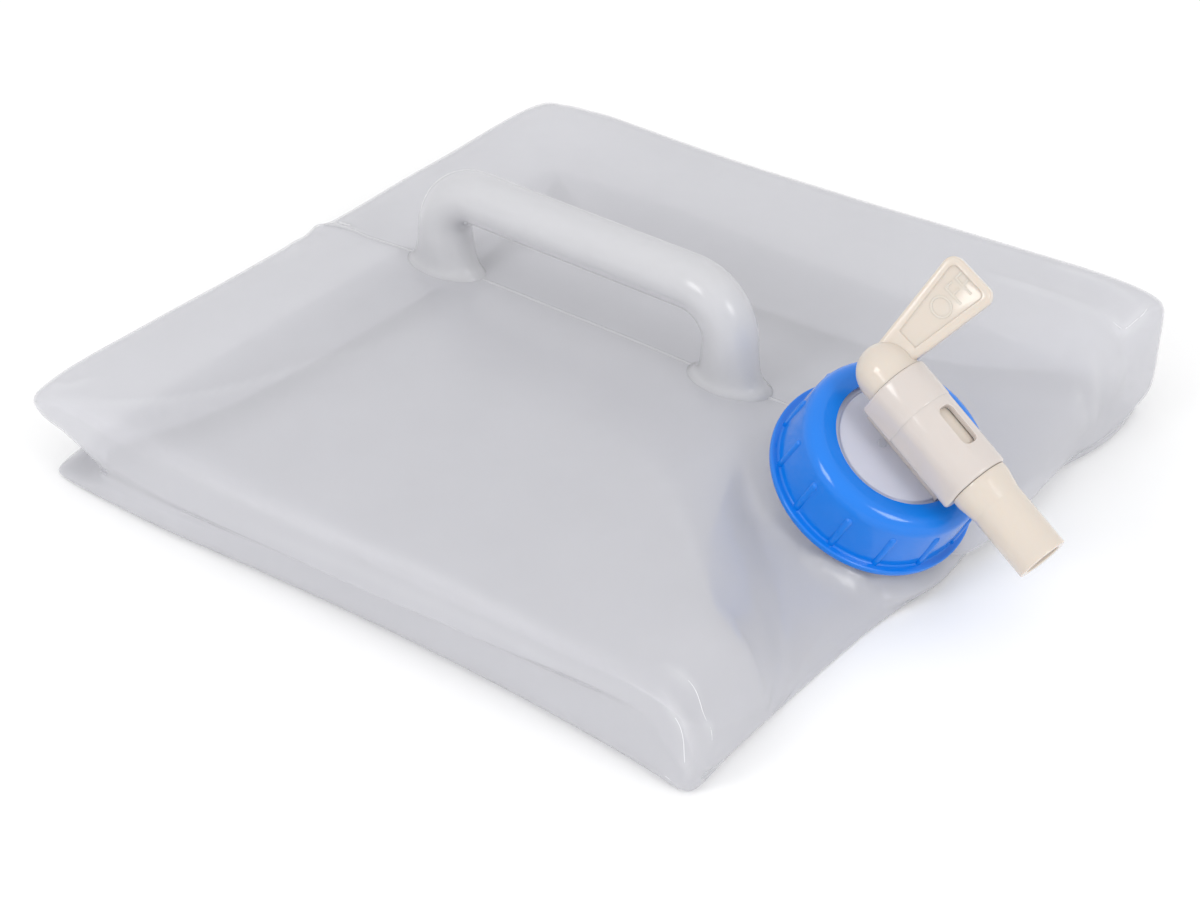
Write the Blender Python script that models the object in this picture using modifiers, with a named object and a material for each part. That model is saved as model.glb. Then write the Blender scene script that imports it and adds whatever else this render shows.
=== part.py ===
"""Folding water carrier, emptied and pressed flat, with its screw cap and rotary tap.

Lengths are in metres and angles in radians. +X runs along the front edge, the tap
faces -Y and +Z is up. The origin is the middle of the flat base that the bag lies on.
"""
from math import cos, pi, radians, sin

import bmesh
import bpy
from mathutils import Matrix, Vector

# Clearances
SEAT_GAP = 0.0003
RUNNING_GAP = 0.0003

# Film bag: heights and depths
PANEL_SIDE = 0.250
BASE_SIDE_INSET = 0.0006
BASE_END_INSET = 0.0012
FILM = 0.0006
EDGE_HEIGHT = 0.0332
CORNER_DROOP = 0.0056
RIDGE_HEIGHT = 0.039
RIDGE_BACK_DIP = 0.0078
RIGHT_LIFT = 0.0086
FRONT_EDGE_HEIGHT = 0.0150
SIDE_FOLD_DEPTH = 0.060
BACK_FOLD_DEPTH = 0.045
CORNER_FOLD_DEPTH = 0.0170
CORNER_BULGE = 0.0035
CORNER_TUCK = 0.0072
BASE_SIDE_HOLLOW = 0.0042
BASE_FRONT_HOLLOW = 0.0035
BASE_FRONT_WAVE = 0.0045
FOLD_PULL = 0.0022

# Film bag: where its forms start and how they fade, as shares of a half side
FOLD_HEIGHT_SHARE = 0.22
RIGHT_LIFT_START_SHARE = 0.3
FRONT_SLOPE_START_SHARE = 0.30
FRONT_SLOPE_SPREAD_RATIO = 1.2
FRONT_SLOPE_LAST_SHARE = 0.9
FRONT_SLOPE_POWER = 1.5
SIDE_HOLLOW_MIDDLE_SHARE = -0.3
SIDE_HOLLOW_REACH_SHARE = 0.84
WAVE_START_SHARE = -0.1
WAVE_LENGTH_SHARE = 0.74
WAVE_LEVEL_RATIO = 0.2
EDGE_POWER = 3
CORNER_POWER = 6
TIP_POWER = 12
WALL_START_SHARE = 0.999
WALL_DROP_POWER = 3
SLIT_SLANT_RATIO = 0.15
LIP_POWER = 14
PANEL_CELLS = 8
WALL_CELLS = 6

# Neck and the film shoulder round it
NECK_X = -0.006
NECK_FRONT_INSET = 0.0231
NECK_Y = NECK_FRONT_INSET - PANEL_SIDE / 2
NECK_Z = 0.0292
NECK_LEAN = radians(31.15)
NECK_YAW = radians(-11.5)
NECK_BORE_RADIUS = 0.0205
NECK_WALL = 0.0035
NECK_RADIUS = NECK_BORE_RADIUS + NECK_WALL
NECK_HEIGHT = 0.0155
NECK_BEAD_REACH = 0.0035
NECK_BEAD_RADIUS = NECK_RADIUS + NECK_BEAD_REACH
NECK_BEAD_THICKNESS = 0.0020
NECK_BEAD_TOP = -0.0005
SHOULDER_RADIUS = 0.0395
SHOULDER_DROP = 0.0100
SHOULDER_TILT = 0.0036
FRONT_OPENING_FOOT_SHARE = -0.3
COLLAR_ROOT_RADIUS = 0.0262
COLLAR_ROOT_DROP = 0.0020

# Carry handle
HANDLE_RADIUS = 0.0085
HANDLE_WALL = 0.0013
HANDLE_TOP = 0.0760
HANDLE_FRONT_Y = -0.0465
HANDLE_BACK_Y = 0.0660
HANDLE_BEND = 0.0150
HANDLE_FRONT_FLARE_RATIO = 1.20
HANDLE_BACK_FLARE_RATIO = 1.80
HANDLE_SIDE_FLARE_RATIO = 0.45
HANDLE_FLARE_HEIGHT = 0.0190
HANDLE_ROOT_DEPTH = 0.0120

# Gasket and tap disc
GASKET_THICKNESS = 0.0020
GASKET_REACH = 0.0002
GASKET_RADIUS = NECK_RADIUS + GASKET_REACH
DISC_THICKNESS = 0.0020
DISC_REACH = 0.0008
DISC_RADIUS = NECK_RADIUS + DISC_REACH
SPIGOT_GAP = 0.0006
SPIGOT_WALL = 0.0016
SPIGOT_DEPTH = 0.0045

# Screw collar
COLLAR_THREAD_GAP = 0.0018
COLLAR_WALL = 0.0038
COLLAR_RADIUS = NECK_RADIUS + COLLAR_THREAD_GAP + COLLAR_WALL
COLLAR_FLANGE_REACH = 0.0024
COLLAR_FLANGE_RADIUS = COLLAR_RADIUS + COLLAR_FLANGE_REACH
COLLAR_FLANGE_THICKNESS = 0.0022
COLLAR_TAPER = 0.0006
COLLAR_LIP_OVERLAP = 0.0045
COLLAR_LIP_RADIUS = DISC_RADIUS - COLLAR_LIP_OVERLAP
COLLAR_LIP_THICKNESS = 0.0014
COLLAR_CROWN = 0.0006
COLLAR_TOP_FILLET = 0.0050
RIB_COUNT = 13
RIB_RADIUS = 0.00125
RIB_PROUD = 0.0009
RIB_TOP = 0.0160
RIB_ROUNDING = 0.00075
RIB_PHASE = radians(-156.0)

# Tap barrel on the disc
TAP_TWIST = radians(4.3)
BARREL_HEIGHT = 0.0364
BARREL_RADIUS = 0.0098
BARREL_BACK = 0.0125
BARREL_FRONT = 0.0241
BARREL_WALL = 0.0020
BARREL_CORNER = 0.0046
WEB_WIDTH = 0.0066
WEB_GAP = 0.0010
PORT_CENTRE = 0.0090
PORT_LENGTH = 0.0142
PORT_WIDTH = 0.0047
PORT_CUT = 0.0120

# Rotary plug
CORE_WALL = 0.0019
DOME_INSET = 0.0010
DOME_RADIUS = BARREL_RADIUS - DOME_INSET
DOME_CENTRE = 0.0162
SNAP_INSET = 0.0009
SNAP_RADIUS = BARREL_RADIUS - SNAP_INSET
SNAP_LENGTH = 0.0020
CONE_LENGTH = 0.0060
SPOUT_RADIUS = 0.0078
SPOUT_CHAMFER = 0.0004
SPOUT_END = 0.0524
SPOUT_WALL = 0.0022
SPOUT_BORE_RADIUS = SPOUT_RADIUS - SPOUT_WALL
LEVER_OFF_ANGLE = radians(40.0)
QUARTER_TURN = radians(90.0)
LEVER_REACH = 0.0372
LEVER_THICKNESS = 0.0044
LEVER_ROOT_WIDTH = 0.0094
LEVER_TIP_WIDTH = 0.0178
LEVER_LEAN = radians(3.0)
LEVER_OFFSET = 0.0024
LEVER_CORNER = 0.0035
LEVER_RIM = 0.0026
LEVER_RECESS = 0.0008
LEVER_RECESS_START = 0.0108

# Facets
ROUND_STEPS = 48
SMALL_STEPS = 32
ARC_STEPS = 6

BAG_NAME = "folding_water_carrier"
TOOLS_NAME = "shaping_tools"


def clear_scene():
    for obj in list(bpy.data.objects):
        bpy.data.objects.remove(obj, do_unlink=True)


def make_collection(name):
    collection = bpy.data.collections.new(name)
    bpy.context.scene.collection.children.link(collection)
    return collection


def make_material(name, colour, roughness, transmission=0.0):
    material = bpy.data.materials.new(name)
    material.use_nodes = True
    shader = material.node_tree.nodes["Principled BSDF"]
    shader.inputs["Base Color"].default_value = (*colour, 1.0)
    shader.inputs["Roughness"].default_value = roughness
    shader.inputs["Metallic"].default_value = 0.0
    shader.inputs["Transmission Weight"].default_value = transmission
    return material


def add_part(name, mesh, material, parent=None):
    obj = bpy.data.objects.new(name, mesh)
    obj.parent = parent
    bpy.data.collections[BAG_NAME].objects.link(obj)
    mesh.materials.append(material)
    return obj


def add_tool(name, mesh, parent=None):
    """Add a hidden object that only cuts or joins another."""
    obj = bpy.data.objects.new(name, mesh)
    obj.parent = parent
    obj.hide_render = True
    obj.display_type = "WIRE"
    bpy.data.collections[TOOLS_NAME].objects.link(obj)
    return obj


def add_empty(name, parent=None, location=(0, 0, 0), rotation=(0, 0, 0)):
    empty = bpy.data.objects.new(name, None)
    empty.parent = parent
    empty.location = location
    empty.rotation_euler = rotation
    bpy.data.collections[BAG_NAME].objects.link(empty)
    return empty


def combine(target, tool, operation):
    boolean = target.modifiers.new(operation.title(), "BOOLEAN")
    boolean.operation = operation
    boolean.solver = "EXACT"
    boolean.object = tool


def arc(centre_x, centre_y, radius, start, end, steps=ARC_STEPS):
    """Points on an arc from the start angle to the end angle."""
    angles = [start + (end - start) * step / steps for step in range(steps + 1)]
    return [(centre_x + radius * cos(a), centre_y + radius * sin(a)) for a in angles]


def profile_mesh(name, outline, closed):
    """A wire of radius and height pairs in the XZ plane, ready to be turned."""
    shape = bmesh.new()
    corners = [shape.verts.new((radius, 0.0, height)) for radius, height in outline]
    for first, second in zip(corners, corners[1:]):
        shape.edges.new((first, second))
    if closed:
        shape.edges.new((corners[-1], corners[0]))
    mesh = bpy.data.meshes.new(name)
    shape.to_mesh(mesh)
    shape.free()
    return mesh


def turn(obj, steps):
    """Turn an object's profile once round its own Z axis."""
    screw = obj.modifiers.new("Turn", "SCREW")
    screw.axis = "Z"
    screw.angle = 2 * pi
    screw.steps = steps
    screw.render_steps = steps
    screw.use_merge_vertices = True
    screw.merge_threshold = 0.00001
    screw.use_smooth_shade = True


def plate_mesh(name, outline, thickness):
    """A flat outline in the XY plane, filled and given its thickness along Z."""
    curve = bpy.data.curves.new(name, "CURVE")
    curve.dimensions = "2D"
    curve.fill_mode = "BOTH"
    curve.extrude = thickness / 2
    spline = curve.splines.new("POLY")
    spline.points.add(len(outline) - 1)
    for point, (x, y) in zip(spline.points, outline):
        point.co = (x, y, 0.0, 1.0)
    spline.use_cyclic_u = True
    return curve_to_mesh(name, curve)


def curve_to_mesh(name, curve):
    """Turn a curve into a welded mesh, so that it can be cut and joined."""
    holder = bpy.data.objects.new(name, curve)
    bpy.context.scene.collection.objects.link(holder)
    bpy.context.view_layer.update()
    evaluated = holder.evaluated_get(bpy.context.evaluated_depsgraph_get())
    mesh = bpy.data.meshes.new_from_object(evaluated)
    bpy.data.objects.remove(holder, do_unlink=True)
    bpy.data.curves.remove(curve)
    shape = bmesh.new()
    shape.from_mesh(mesh)
    bmesh.ops.remove_doubles(shape, verts=shape.verts, dist=0.000001)
    bmesh.ops.recalc_face_normals(shape, faces=shape.faces)
    shape.to_mesh(mesh)
    shape.free()
    return mesh


def rounded_slot(length, width):
    """The outline of a slot with round ends, its length along Y."""
    radius = width / 2
    straight = length / 2 - radius
    return arc(0, straight, radius, 0, pi) + arc(0, -straight, radius, pi, 2 * pi)


def panel_height(u, v):
    """Height of the top panel: a low ridge along the middle, a puffed right side,
    drooping corners and a front that slopes down to its fold."""
    side = EDGE_HEIGHT - CORNER_DROOP * abs(u * v) ** TIP_POWER
    if u > 0:
        side += RIGHT_LIFT * max(0.0, (RIGHT_LIFT_START_SHARE - v) / (RIGHT_LIFT_START_SHARE + 1))
    ridge = RIDGE_HEIGHT - RIDGE_BACK_DIP * max(v, 0) ** CORNER_POWER
    roof = ridge + (side - ridge) * abs(u)
    front = FRONT_EDGE_HEIGHT + (side - FRONT_EDGE_HEIGHT) * abs(u) ** EDGE_POWER
    start = min(FRONT_SLOPE_LAST_SHARE, FRONT_SLOPE_START_SHARE + FRONT_SLOPE_SPREAD_RATIO * u * u)
    slope = max(0.0, (-v - start) / (1 - start))
    return roof + (front - roof) * slope ** FRONT_SLOPE_POWER


def side_hollow(v):
    """How far the base's sides are drawn in, most of all a little before their middle."""
    return BASE_SIDE_HOLLOW * max(0.0, 1 - ((v - SIDE_HOLLOW_MIDDLE_SHARE) / SIDE_HOLLOW_REACH_SHARE) ** 2)


def front_hollow(u):
    """How far the base's front edge is drawn in, with a wave from the neck to the right."""
    hollow = BASE_FRONT_HOLLOW * (1 - u ** CORNER_POWER)
    if u > WAVE_START_SHARE:
        hollow -= BASE_FRONT_WAVE * (WAVE_LEVEL_RATIO + cos(2 * pi * u / WAVE_LENGTH_SHARE))
    return hollow


def base_point(u, v):
    """A point of the base: hollow sides, a wavy front and a tucked front right corner."""
    front = max(-v, 0) ** CORNER_POWER
    tuck = CORNER_TUCK * max(u, 0) ** CORNER_POWER * front
    half = PANEL_SIDE / 2 + FOLD_PULL
    x = (half - BASE_SIDE_INSET - side_hollow(v)) * u - tuck
    y = (half - BASE_END_INSET) * v + front_hollow(u) * front
    return Vector((x, y, 0.0))


def fold_depth(u, v):
    """How far the wall is folded in, from its depth along the side to that at the corner."""
    corner = CORNER_FOLD_DEPTH if v > 0 else -CORNER_BULGE
    if abs(u) >= abs(v):
        middle = SIDE_FOLD_DEPTH
        along = abs(v) ** EDGE_POWER
    else:
        middle = BACK_FOLD_DEPTH if v > 0 else 0.0
        along = abs(u) ** EDGE_POWER
    return middle * (1 - along) + corner * along


def folded_point(u, v, w):
    """Place a point of the full cube, each coordinate from -1 to 1, on the pressed bag.

    Along the walls the film drops from its edge to a lip and runs in to a narrow fold;
    at the corners it slants to the fold in a straight line."""
    half = PANEL_SIDE / 2 + FOLD_PULL
    top = Vector((half * u, half * v, panel_height(u, v)))
    base = base_point(u, v)
    edge = top if w > 0 else base
    if max(abs(u), abs(v)) < WALL_START_SHARE:
        return edge
    inward = Vector((-u * abs(u) ** EDGE_POWER, -v * abs(v) ** EDGE_POWER, 0.0))
    fold = base.lerp(top, FOLD_HEIGHT_SHARE) + inward * fold_depth(u, v)
    corner = abs(u * v) ** EDGE_POWER
    drop = WALL_DROP_POWER + (1 - WALL_DROP_POWER) * corner
    point = edge.lerp(fold, (1 - abs(w)) ** drop)
    slant = SLIT_SLANT_RATIO + (1 - SLIT_SLANT_RATIO) * corner
    level = slant * abs(w) + (1 - slant) * abs(w) ** LIP_POWER
    point.z = fold.z + (edge.z - fold.z) * level
    return point


def folded_cube():
    """A cube cut into cells that crowd towards its edges, then pressed flat."""
    shape = bmesh.new()
    bmesh.ops.create_cube(shape, size=2.0)
    level = [e for e in shape.edges if abs(e.verts[0].co.z - e.verts[1].co.z) < 0.01]
    bmesh.ops.subdivide_edges(shape, edges=level, cuts=PANEL_CELLS - 1, use_grid_fill=True)
    upright = [e for e in shape.edges if abs(e.verts[0].co.z - e.verts[1].co.z) > 0.01]
    bmesh.ops.subdivide_edges(shape, edges=upright, cuts=WALL_CELLS - 1, use_grid_fill=True)
    for vert in shape.verts:
        vert.co = [sin(value * pi / 2) for value in vert.co]
    return shape


def neck_matrix():
    turn_in = Matrix.Rotation(NECK_YAW, 4, "Z") @ Matrix.Rotation(NECK_LEAN, 4, "X")
    return Matrix.Translation((NECK_X, NECK_Y, NECK_Z)) @ turn_in


def place_ring(verts, radius, height, tilt=0.0):
    """Set verts, in their order round the neck, on a ring of the neck's own frame."""
    for index, vert in enumerate(verts):
        angle = 2 * pi * (index + 0.5) / len(verts)
        spot = Vector((radius * cos(angle), radius * sin(angle), height - tilt * sin(angle)))
        vert.co = neck_matrix() @ spot


def open_neck(shape):
    """Open the middle of the front fold and draw the film up to the neck."""
    inner_line = sin(pi / PANEL_CELLS)
    opened = []
    for face in shape.faces:
        centre = face.calc_center_median()
        on_top = centre.z > WALL_START_SHARE and centre.y < -inner_line
        on_front = centre.y < -WALL_START_SHARE and centre.z > FRONT_OPENING_FOOT_SHARE
        if abs(centre.x) < inner_line and (on_top or on_front):
            opened.append(face)
    bmesh.ops.delete(shape, geom=opened, context="FACES")
    for vert in shape.verts:
        vert.co = folded_point(*vert.co)
    to_neck = neck_matrix().inverted()

    def angle_round(vert):
        spot = to_neck @ vert.co
        return Vector((spot.x, spot.y)).angle_signed(Vector((1, 0))) % (2 * pi)

    rim = [e for e in shape.edges if e.is_boundary]
    ring = sorted({v for e in rim for v in e.verts}, key=angle_round)
    place_ring(ring, SHOULDER_RADIUS, -SHOULDER_DROP, SHOULDER_TILT)
    root_top = NECK_BEAD_TOP - NECK_BEAD_THICKNESS - SEAT_GAP
    for height in (root_top - COLLAR_ROOT_DROP, root_top):
        extruded = bmesh.ops.extrude_edge_only(shape, edges=rim)["geom"]
        rim = [e for e in extruded if isinstance(e, bmesh.types.BMEdge) and e.is_boundary]
        ring = sorted({v for e in rim for v in e.verts}, key=angle_round)
        place_ring(ring, COLLAR_ROOT_RADIUS, height)
    return rim


def film_mesh(name, closed):
    """The pressed bag as one sheet, open at the neck or closed over it."""
    shape = folded_cube()
    rim = open_neck(shape)
    if closed:
        bmesh.ops.edgeloop_fill(shape, edges=rim)
    bmesh.ops.recalc_face_normals(shape, faces=shape.faces)
    mesh = bpy.data.meshes.new(name)
    shape.to_mesh(mesh)
    shape.free()
    mesh.shade_smooth()
    return mesh


def smooth_film(obj):
    smooth = obj.modifiers.new("Soften", "SUBSURF")
    smooth.levels = 1
    smooth.render_levels = 1


def make_bag(material):
    bag = add_part("film_bag", film_mesh("film_bag", closed=False), material)
    smooth_film(bag)
    wall = bag.modifiers.new("Film", "SOLIDIFY")
    wall.thickness = FILM
    wall.offset = -1.0
    return bag


def handle_spread(height):
    """How far a leg has flared at a height, from 0 above the flare to 1 at its foot."""
    return min(1.0, max(0.0, 1 - (height - RIDGE_HEIGHT) / HANDLE_FLARE_HEIGHT) ** 2)


def handle_route():
    """Points up the front leg, along the grip and down the back leg, with their flares."""
    top = HANDLE_TOP - HANDLE_RADIUS
    bend_z = top - HANDLE_BEND
    route = arc(HANDLE_FRONT_Y + HANDLE_BEND, bend_z, HANDLE_BEND, pi, pi / 2)
    route += arc(HANDLE_BACK_Y - HANDLE_BEND, bend_z, HANDLE_BEND, pi / 2, 0)
    route = [(y, z, 1.0) for y, z in route]
    for step in range(1, ARC_STEPS + 1):
        share = step / ARC_STEPS
        height = bend_z - share * (bend_z - RIDGE_HEIGHT + HANDLE_ROOT_DEPTH)
        spread = handle_spread(height)
        route.insert(0, (HANDLE_FRONT_Y, height, 1 + (HANDLE_FRONT_FLARE_RATIO - 1) * spread))
        route.append((HANDLE_BACK_Y, height, 1 + (HANDLE_BACK_FLARE_RATIO - 1) * spread))
    return route


def make_handle(material):
    curve = bpy.data.curves.new("carry_handle", "CURVE")
    curve.dimensions = "3D"
    curve.bevel_depth = HANDLE_RADIUS
    curve.bevel_resolution = 6
    curve.use_fill_caps = False
    route = handle_route()
    spline = curve.splines.new("POLY")
    spline.points.add(len(route) - 1)
    for point, (y, z, flare) in zip(spline.points, route):
        point.co = (0.0, y, z, 1.0)
        point.radius = flare
    handle = add_part("carry_handle", curve_to_mesh("carry_handle", curve), material)
    for vert in handle.data.vertices:
        vert.co.x *= 1 - HANDLE_SIDE_FLARE_RATIO * handle_spread(vert.co.z)
    wall = handle.modifiers.new("Wall", "SOLIDIFY")
    wall.thickness = HANDLE_WALL
    wall.offset = -1.0
    envelope = add_tool("film_envelope", film_mesh("film_envelope", closed=True))
    smooth_film(envelope)
    grow = envelope.modifiers.new("Seat", "DISPLACE")
    grow.strength = SEAT_GAP
    grow.mid_level = 0.0
    combine(handle, envelope, "DIFFERENCE")
    handle.data.shade_smooth()
    return handle


def make_neck(material, neck_axis):
    base = NECK_BEAD_TOP - NECK_BEAD_THICKNESS
    outline = [
        (NECK_BORE_RADIUS, NECK_HEIGHT),
        (NECK_RADIUS, NECK_HEIGHT),
        (NECK_RADIUS, NECK_BEAD_TOP),
        (NECK_BEAD_RADIUS, NECK_BEAD_TOP),
        (NECK_BEAD_RADIUS, base),
        (NECK_BORE_RADIUS, base),
    ]
    mesh = profile_mesh("threaded_neck", outline, closed=True)
    neck = add_part("threaded_neck", mesh, material, neck_axis)
    turn(neck, ROUND_STEPS)
    return neck


def gasket_base():
    return NECK_HEIGHT + SEAT_GAP


def disc_base():
    return gasket_base() + GASKET_THICKNESS + SEAT_GAP


def lip_base():
    return disc_base() + DISC_THICKNESS + SEAT_GAP


def make_gasket(material, neck_axis):
    top = gasket_base() + GASKET_THICKNESS
    outline = [
        (NECK_BORE_RADIUS, top),
        (GASKET_RADIUS, top),
        (GASKET_RADIUS, gasket_base()),
        (NECK_BORE_RADIUS, gasket_base()),
    ]
    mesh = profile_mesh("neck_gasket", outline, closed=True)
    gasket = add_part("neck_gasket", mesh, material, neck_axis)
    turn(gasket, ROUND_STEPS)
    return gasket


def collar_outline():
    """The collar's section: skirt, flange, tapered wall, rounded shoulder and inner lip."""
    skirt_radius = NECK_RADIUS + COLLAR_THREAD_GAP
    lip_top = lip_base() + COLLAR_LIP_THICKNESS
    top = lip_top + COLLAR_CROWN
    upper_radius = COLLAR_RADIUS - COLLAR_TAPER
    fillet_x = upper_radius - COLLAR_TOP_FILLET
    fillet_z = top - COLLAR_TOP_FILLET
    outline = [(COLLAR_LIP_RADIUS, lip_top)]
    outline += arc(fillet_x, fillet_z, COLLAR_TOP_FILLET, pi / 2, 0)
    outline += [
        (COLLAR_RADIUS, COLLAR_FLANGE_THICKNESS),
        (COLLAR_FLANGE_RADIUS, COLLAR_FLANGE_THICKNESS),
        (COLLAR_FLANGE_RADIUS, 0.0),
        (skirt_radius, 0.0),
        (skirt_radius, lip_base()),
        (COLLAR_LIP_RADIUS, lip_base()),
    ]
    return outline


def ribs_mesh():
    """The grip ribs that stand on the collar's flange, as one mesh."""
    shape = bmesh.new()
    foot = COLLAR_FLANGE_THICKNESS / 2
    length = RIB_TOP - foot
    reach = COLLAR_RADIUS + RIB_PROUD - RIB_RADIUS
    lean = Matrix.Rotation(-COLLAR_TAPER / length, 4, "Y")
    for index in range(RIB_COUNT):
        angle = RIB_PHASE + 2 * pi * index / RIB_COUNT
        stand = Matrix.Translation((reach, 0, foot + length / 2)) @ lean
        spot = Matrix.Rotation(angle, 4, "Z") @ stand
        made = bmesh.ops.create_cone(
            shape, cap_ends=True, segments=10, radius1=RIB_RADIUS, radius2=RIB_RADIUS, depth=length)
        top = [v for v in made["verts"] if v.co.z > 0]
        rim = [e for e in shape.edges if e.verts[0] in top and e.verts[1] in top]
        bmesh.ops.transform(shape, matrix=spot, verts=made["verts"])
        bmesh.ops.bevel(shape, geom=rim, offset=RIB_ROUNDING, segments=2, profile=0.5,
                        affect="EDGES", material=-1)
    mesh = bpy.data.meshes.new("grip_ribs")
    shape.to_mesh(mesh)
    shape.free()
    return mesh


def make_collar(material, neck_axis):
    mesh = profile_mesh("screw_collar", collar_outline(), closed=True)
    collar = add_part("screw_collar", mesh, material, neck_axis)
    turn(collar, ROUND_STEPS)
    combine(collar, add_tool("grip_ribs", ribs_mesh(), neck_axis), "UNION")
    return collar


def disc_outline():
    """The clamped disc with the spigot that centres it in the neck."""
    base = disc_base()
    top = base + DISC_THICKNESS
    spigot_outer = NECK_BORE_RADIUS - SPIGOT_GAP
    spigot_inner = spigot_outer - SPIGOT_WALL
    return [
        (0.0, top),
        (DISC_RADIUS, top),
        (DISC_RADIUS, base),
        (spigot_outer, base),
        (spigot_outer, base - SPIGOT_DEPTH),
        (spigot_inner, base - SPIGOT_DEPTH),
        (spigot_inner, base),
        (0.0, base),
    ]


def barrel_mesh():
    """The barrel along -Y: round outside, with straight sides to a flat underside."""
    inset = BARREL_RADIUS - BARREL_CORNER
    under = BARREL_HEIGHT - inset
    outline = arc(0, BARREL_HEIGHT, BARREL_RADIUS, 0, pi, 2 * ARC_STEPS)
    outline += arc(-inset, under, BARREL_CORNER, pi, 3 * pi / 2, 4)
    outline += arc(inset, under, BARREL_CORNER, 3 * pi / 2, 2 * pi, 4)
    mesh = plate_mesh("barrel", outline, BARREL_BACK + BARREL_FRONT)
    stand_up = Matrix.Rotation(pi / 2, 4, "X")
    middle = (BARREL_BACK - BARREL_FRONT) / 2
    mesh.transform(Matrix.Translation((0, middle, 0)) @ stand_up)
    return mesh


def web_mesh():
    """The wall that stands on the disc inside the collar's lip and carries the barrel."""
    foot = disc_base() + DISC_THICKNESS / 2
    top = BARREL_HEIGHT - BARREL_RADIUS + BARREL_WALL / 2
    front = COLLAR_LIP_RADIUS - WEB_GAP
    back = BARREL_BACK - WEB_GAP
    shape = bmesh.new()
    bmesh.ops.create_cube(shape, size=1.0)
    bmesh.ops.scale(shape, vec=(WEB_WIDTH, front + back, top - foot), verts=shape.verts)
    middle = (0, (back - front) / 2, (top + foot) / 2)
    bmesh.ops.translate(shape, vec=middle, verts=shape.verts)
    mesh = bpy.data.meshes.new("web")
    shape.to_mesh(mesh)
    shape.free()
    return mesh


def cylinder_tool(name, radius, start, end, parent, steps):
    """A cylinder along its parent's Y axis, from start to end."""
    shape = bmesh.new()
    bmesh.ops.create_cone(shape, cap_ends=True, segments=steps, radius1=radius, radius2=radius,
                          depth=end - start)
    place = Matrix.Translation((0, (start + end) / 2, 0)) @ Matrix.Rotation(pi / 2, 4, "X")
    bmesh.ops.transform(shape, matrix=place, verts=shape.verts)
    mesh = bpy.data.meshes.new(name)
    shape.to_mesh(mesh)
    shape.free()
    return add_tool(name, mesh, parent)


def bore_radius():
    return BARREL_RADIUS - BARREL_WALL


def make_tap_body(material, tap_axis):
    mesh = profile_mesh("tap_body", disc_outline(), closed=False)
    body = add_part("tap_body", mesh, material, tap_axis)
    turn(body, ROUND_STEPS)
    combine(body, add_tool("web", web_mesh(), tap_axis), "UNION")
    combine(body, add_tool("barrel", barrel_mesh(), tap_axis), "UNION")
    bore = cylinder_tool("barrel_bore", bore_radius(), -2 * BARREL_FRONT, 2 * BARREL_BACK,
                         tap_axis, SMALL_STEPS)
    bore.location = (0, 0, BARREL_HEIGHT)
    combine(body, bore, "DIFFERENCE")
    pin_mesh = plate_mesh("port_pin", rounded_slot(PORT_LENGTH, PORT_WIDTH), 4 * BARREL_HEIGHT)
    pin = add_tool("port_pin", pin_mesh, tap_axis)
    pin.location = (0, -PORT_CENTRE, BARREL_HEIGHT)
    combine(body, pin, "DIFFERENCE")
    return body


def plug_outline():
    """The plug's section along the barrel: bore, spout, snap cone, core and dome."""
    core = bore_radius() - RUNNING_GAP
    barrel_end = BARREL_FRONT + RUNNING_GAP
    dome_seat = -(BARREL_BACK + RUNNING_GAP)
    bore_end = -BARREL_BACK + CORE_WALL
    cone_start = barrel_end + SNAP_LENGTH
    outline = [
        (0.0, bore_end),
        (SPOUT_BORE_RADIUS, bore_end),
        (SPOUT_BORE_RADIUS, SPOUT_END),
        (SPOUT_RADIUS - SPOUT_CHAMFER, SPOUT_END),
        (SPOUT_RADIUS, SPOUT_END - SPOUT_CHAMFER),
        (SPOUT_RADIUS, cone_start + CONE_LENGTH),
        (SNAP_RADIUS, cone_start),
        (SNAP_RADIUS, barrel_end),
        (core, barrel_end),
        (core, dome_seat),
        (DOME_RADIUS, dome_seat),
    ]
    dome = arc(0, -DOME_CENTRE, DOME_RADIUS, 0, -pi / 2)
    return outline + dome[:-1] + [(0.0, -DOME_CENTRE - DOME_RADIUS)]


def lever_outline(margin, start):
    """The blade's outline along +Y, widening to a rounded tip, less a margin all round."""
    reach = LEVER_REACH - margin
    spread = (LEVER_TIP_WIDTH - LEVER_ROOT_WIDTH) / 2
    root = LEVER_ROOT_WIDTH / 2 - margin + spread * start / LEVER_REACH
    tip = LEVER_TIP_WIDTH / 2 - margin
    corner = LEVER_CORNER - margin / 2
    right = arc(tip - corner, reach - corner, corner, 0, pi / 2, 3)
    left = arc(corner - tip, reach - corner, corner, pi / 2, pi, 3)
    return [(root, start)] + right + left + [(-root, start)]


def lever_mesh(name, margin, start, thickness):
    """Stand the blade in the plane of the barrel and lean it towards the dome."""
    mesh = plate_mesh(name, lever_outline(margin, start), thickness)
    lean = Matrix.Rotation(-LEVER_LEAN, 4, "X") @ Matrix.Rotation(pi / 2, 4, "Y")
    mesh.transform(Matrix.Translation((0, 0, -DOME_CENTRE - LEVER_OFFSET)) @ lean)
    return mesh


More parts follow.
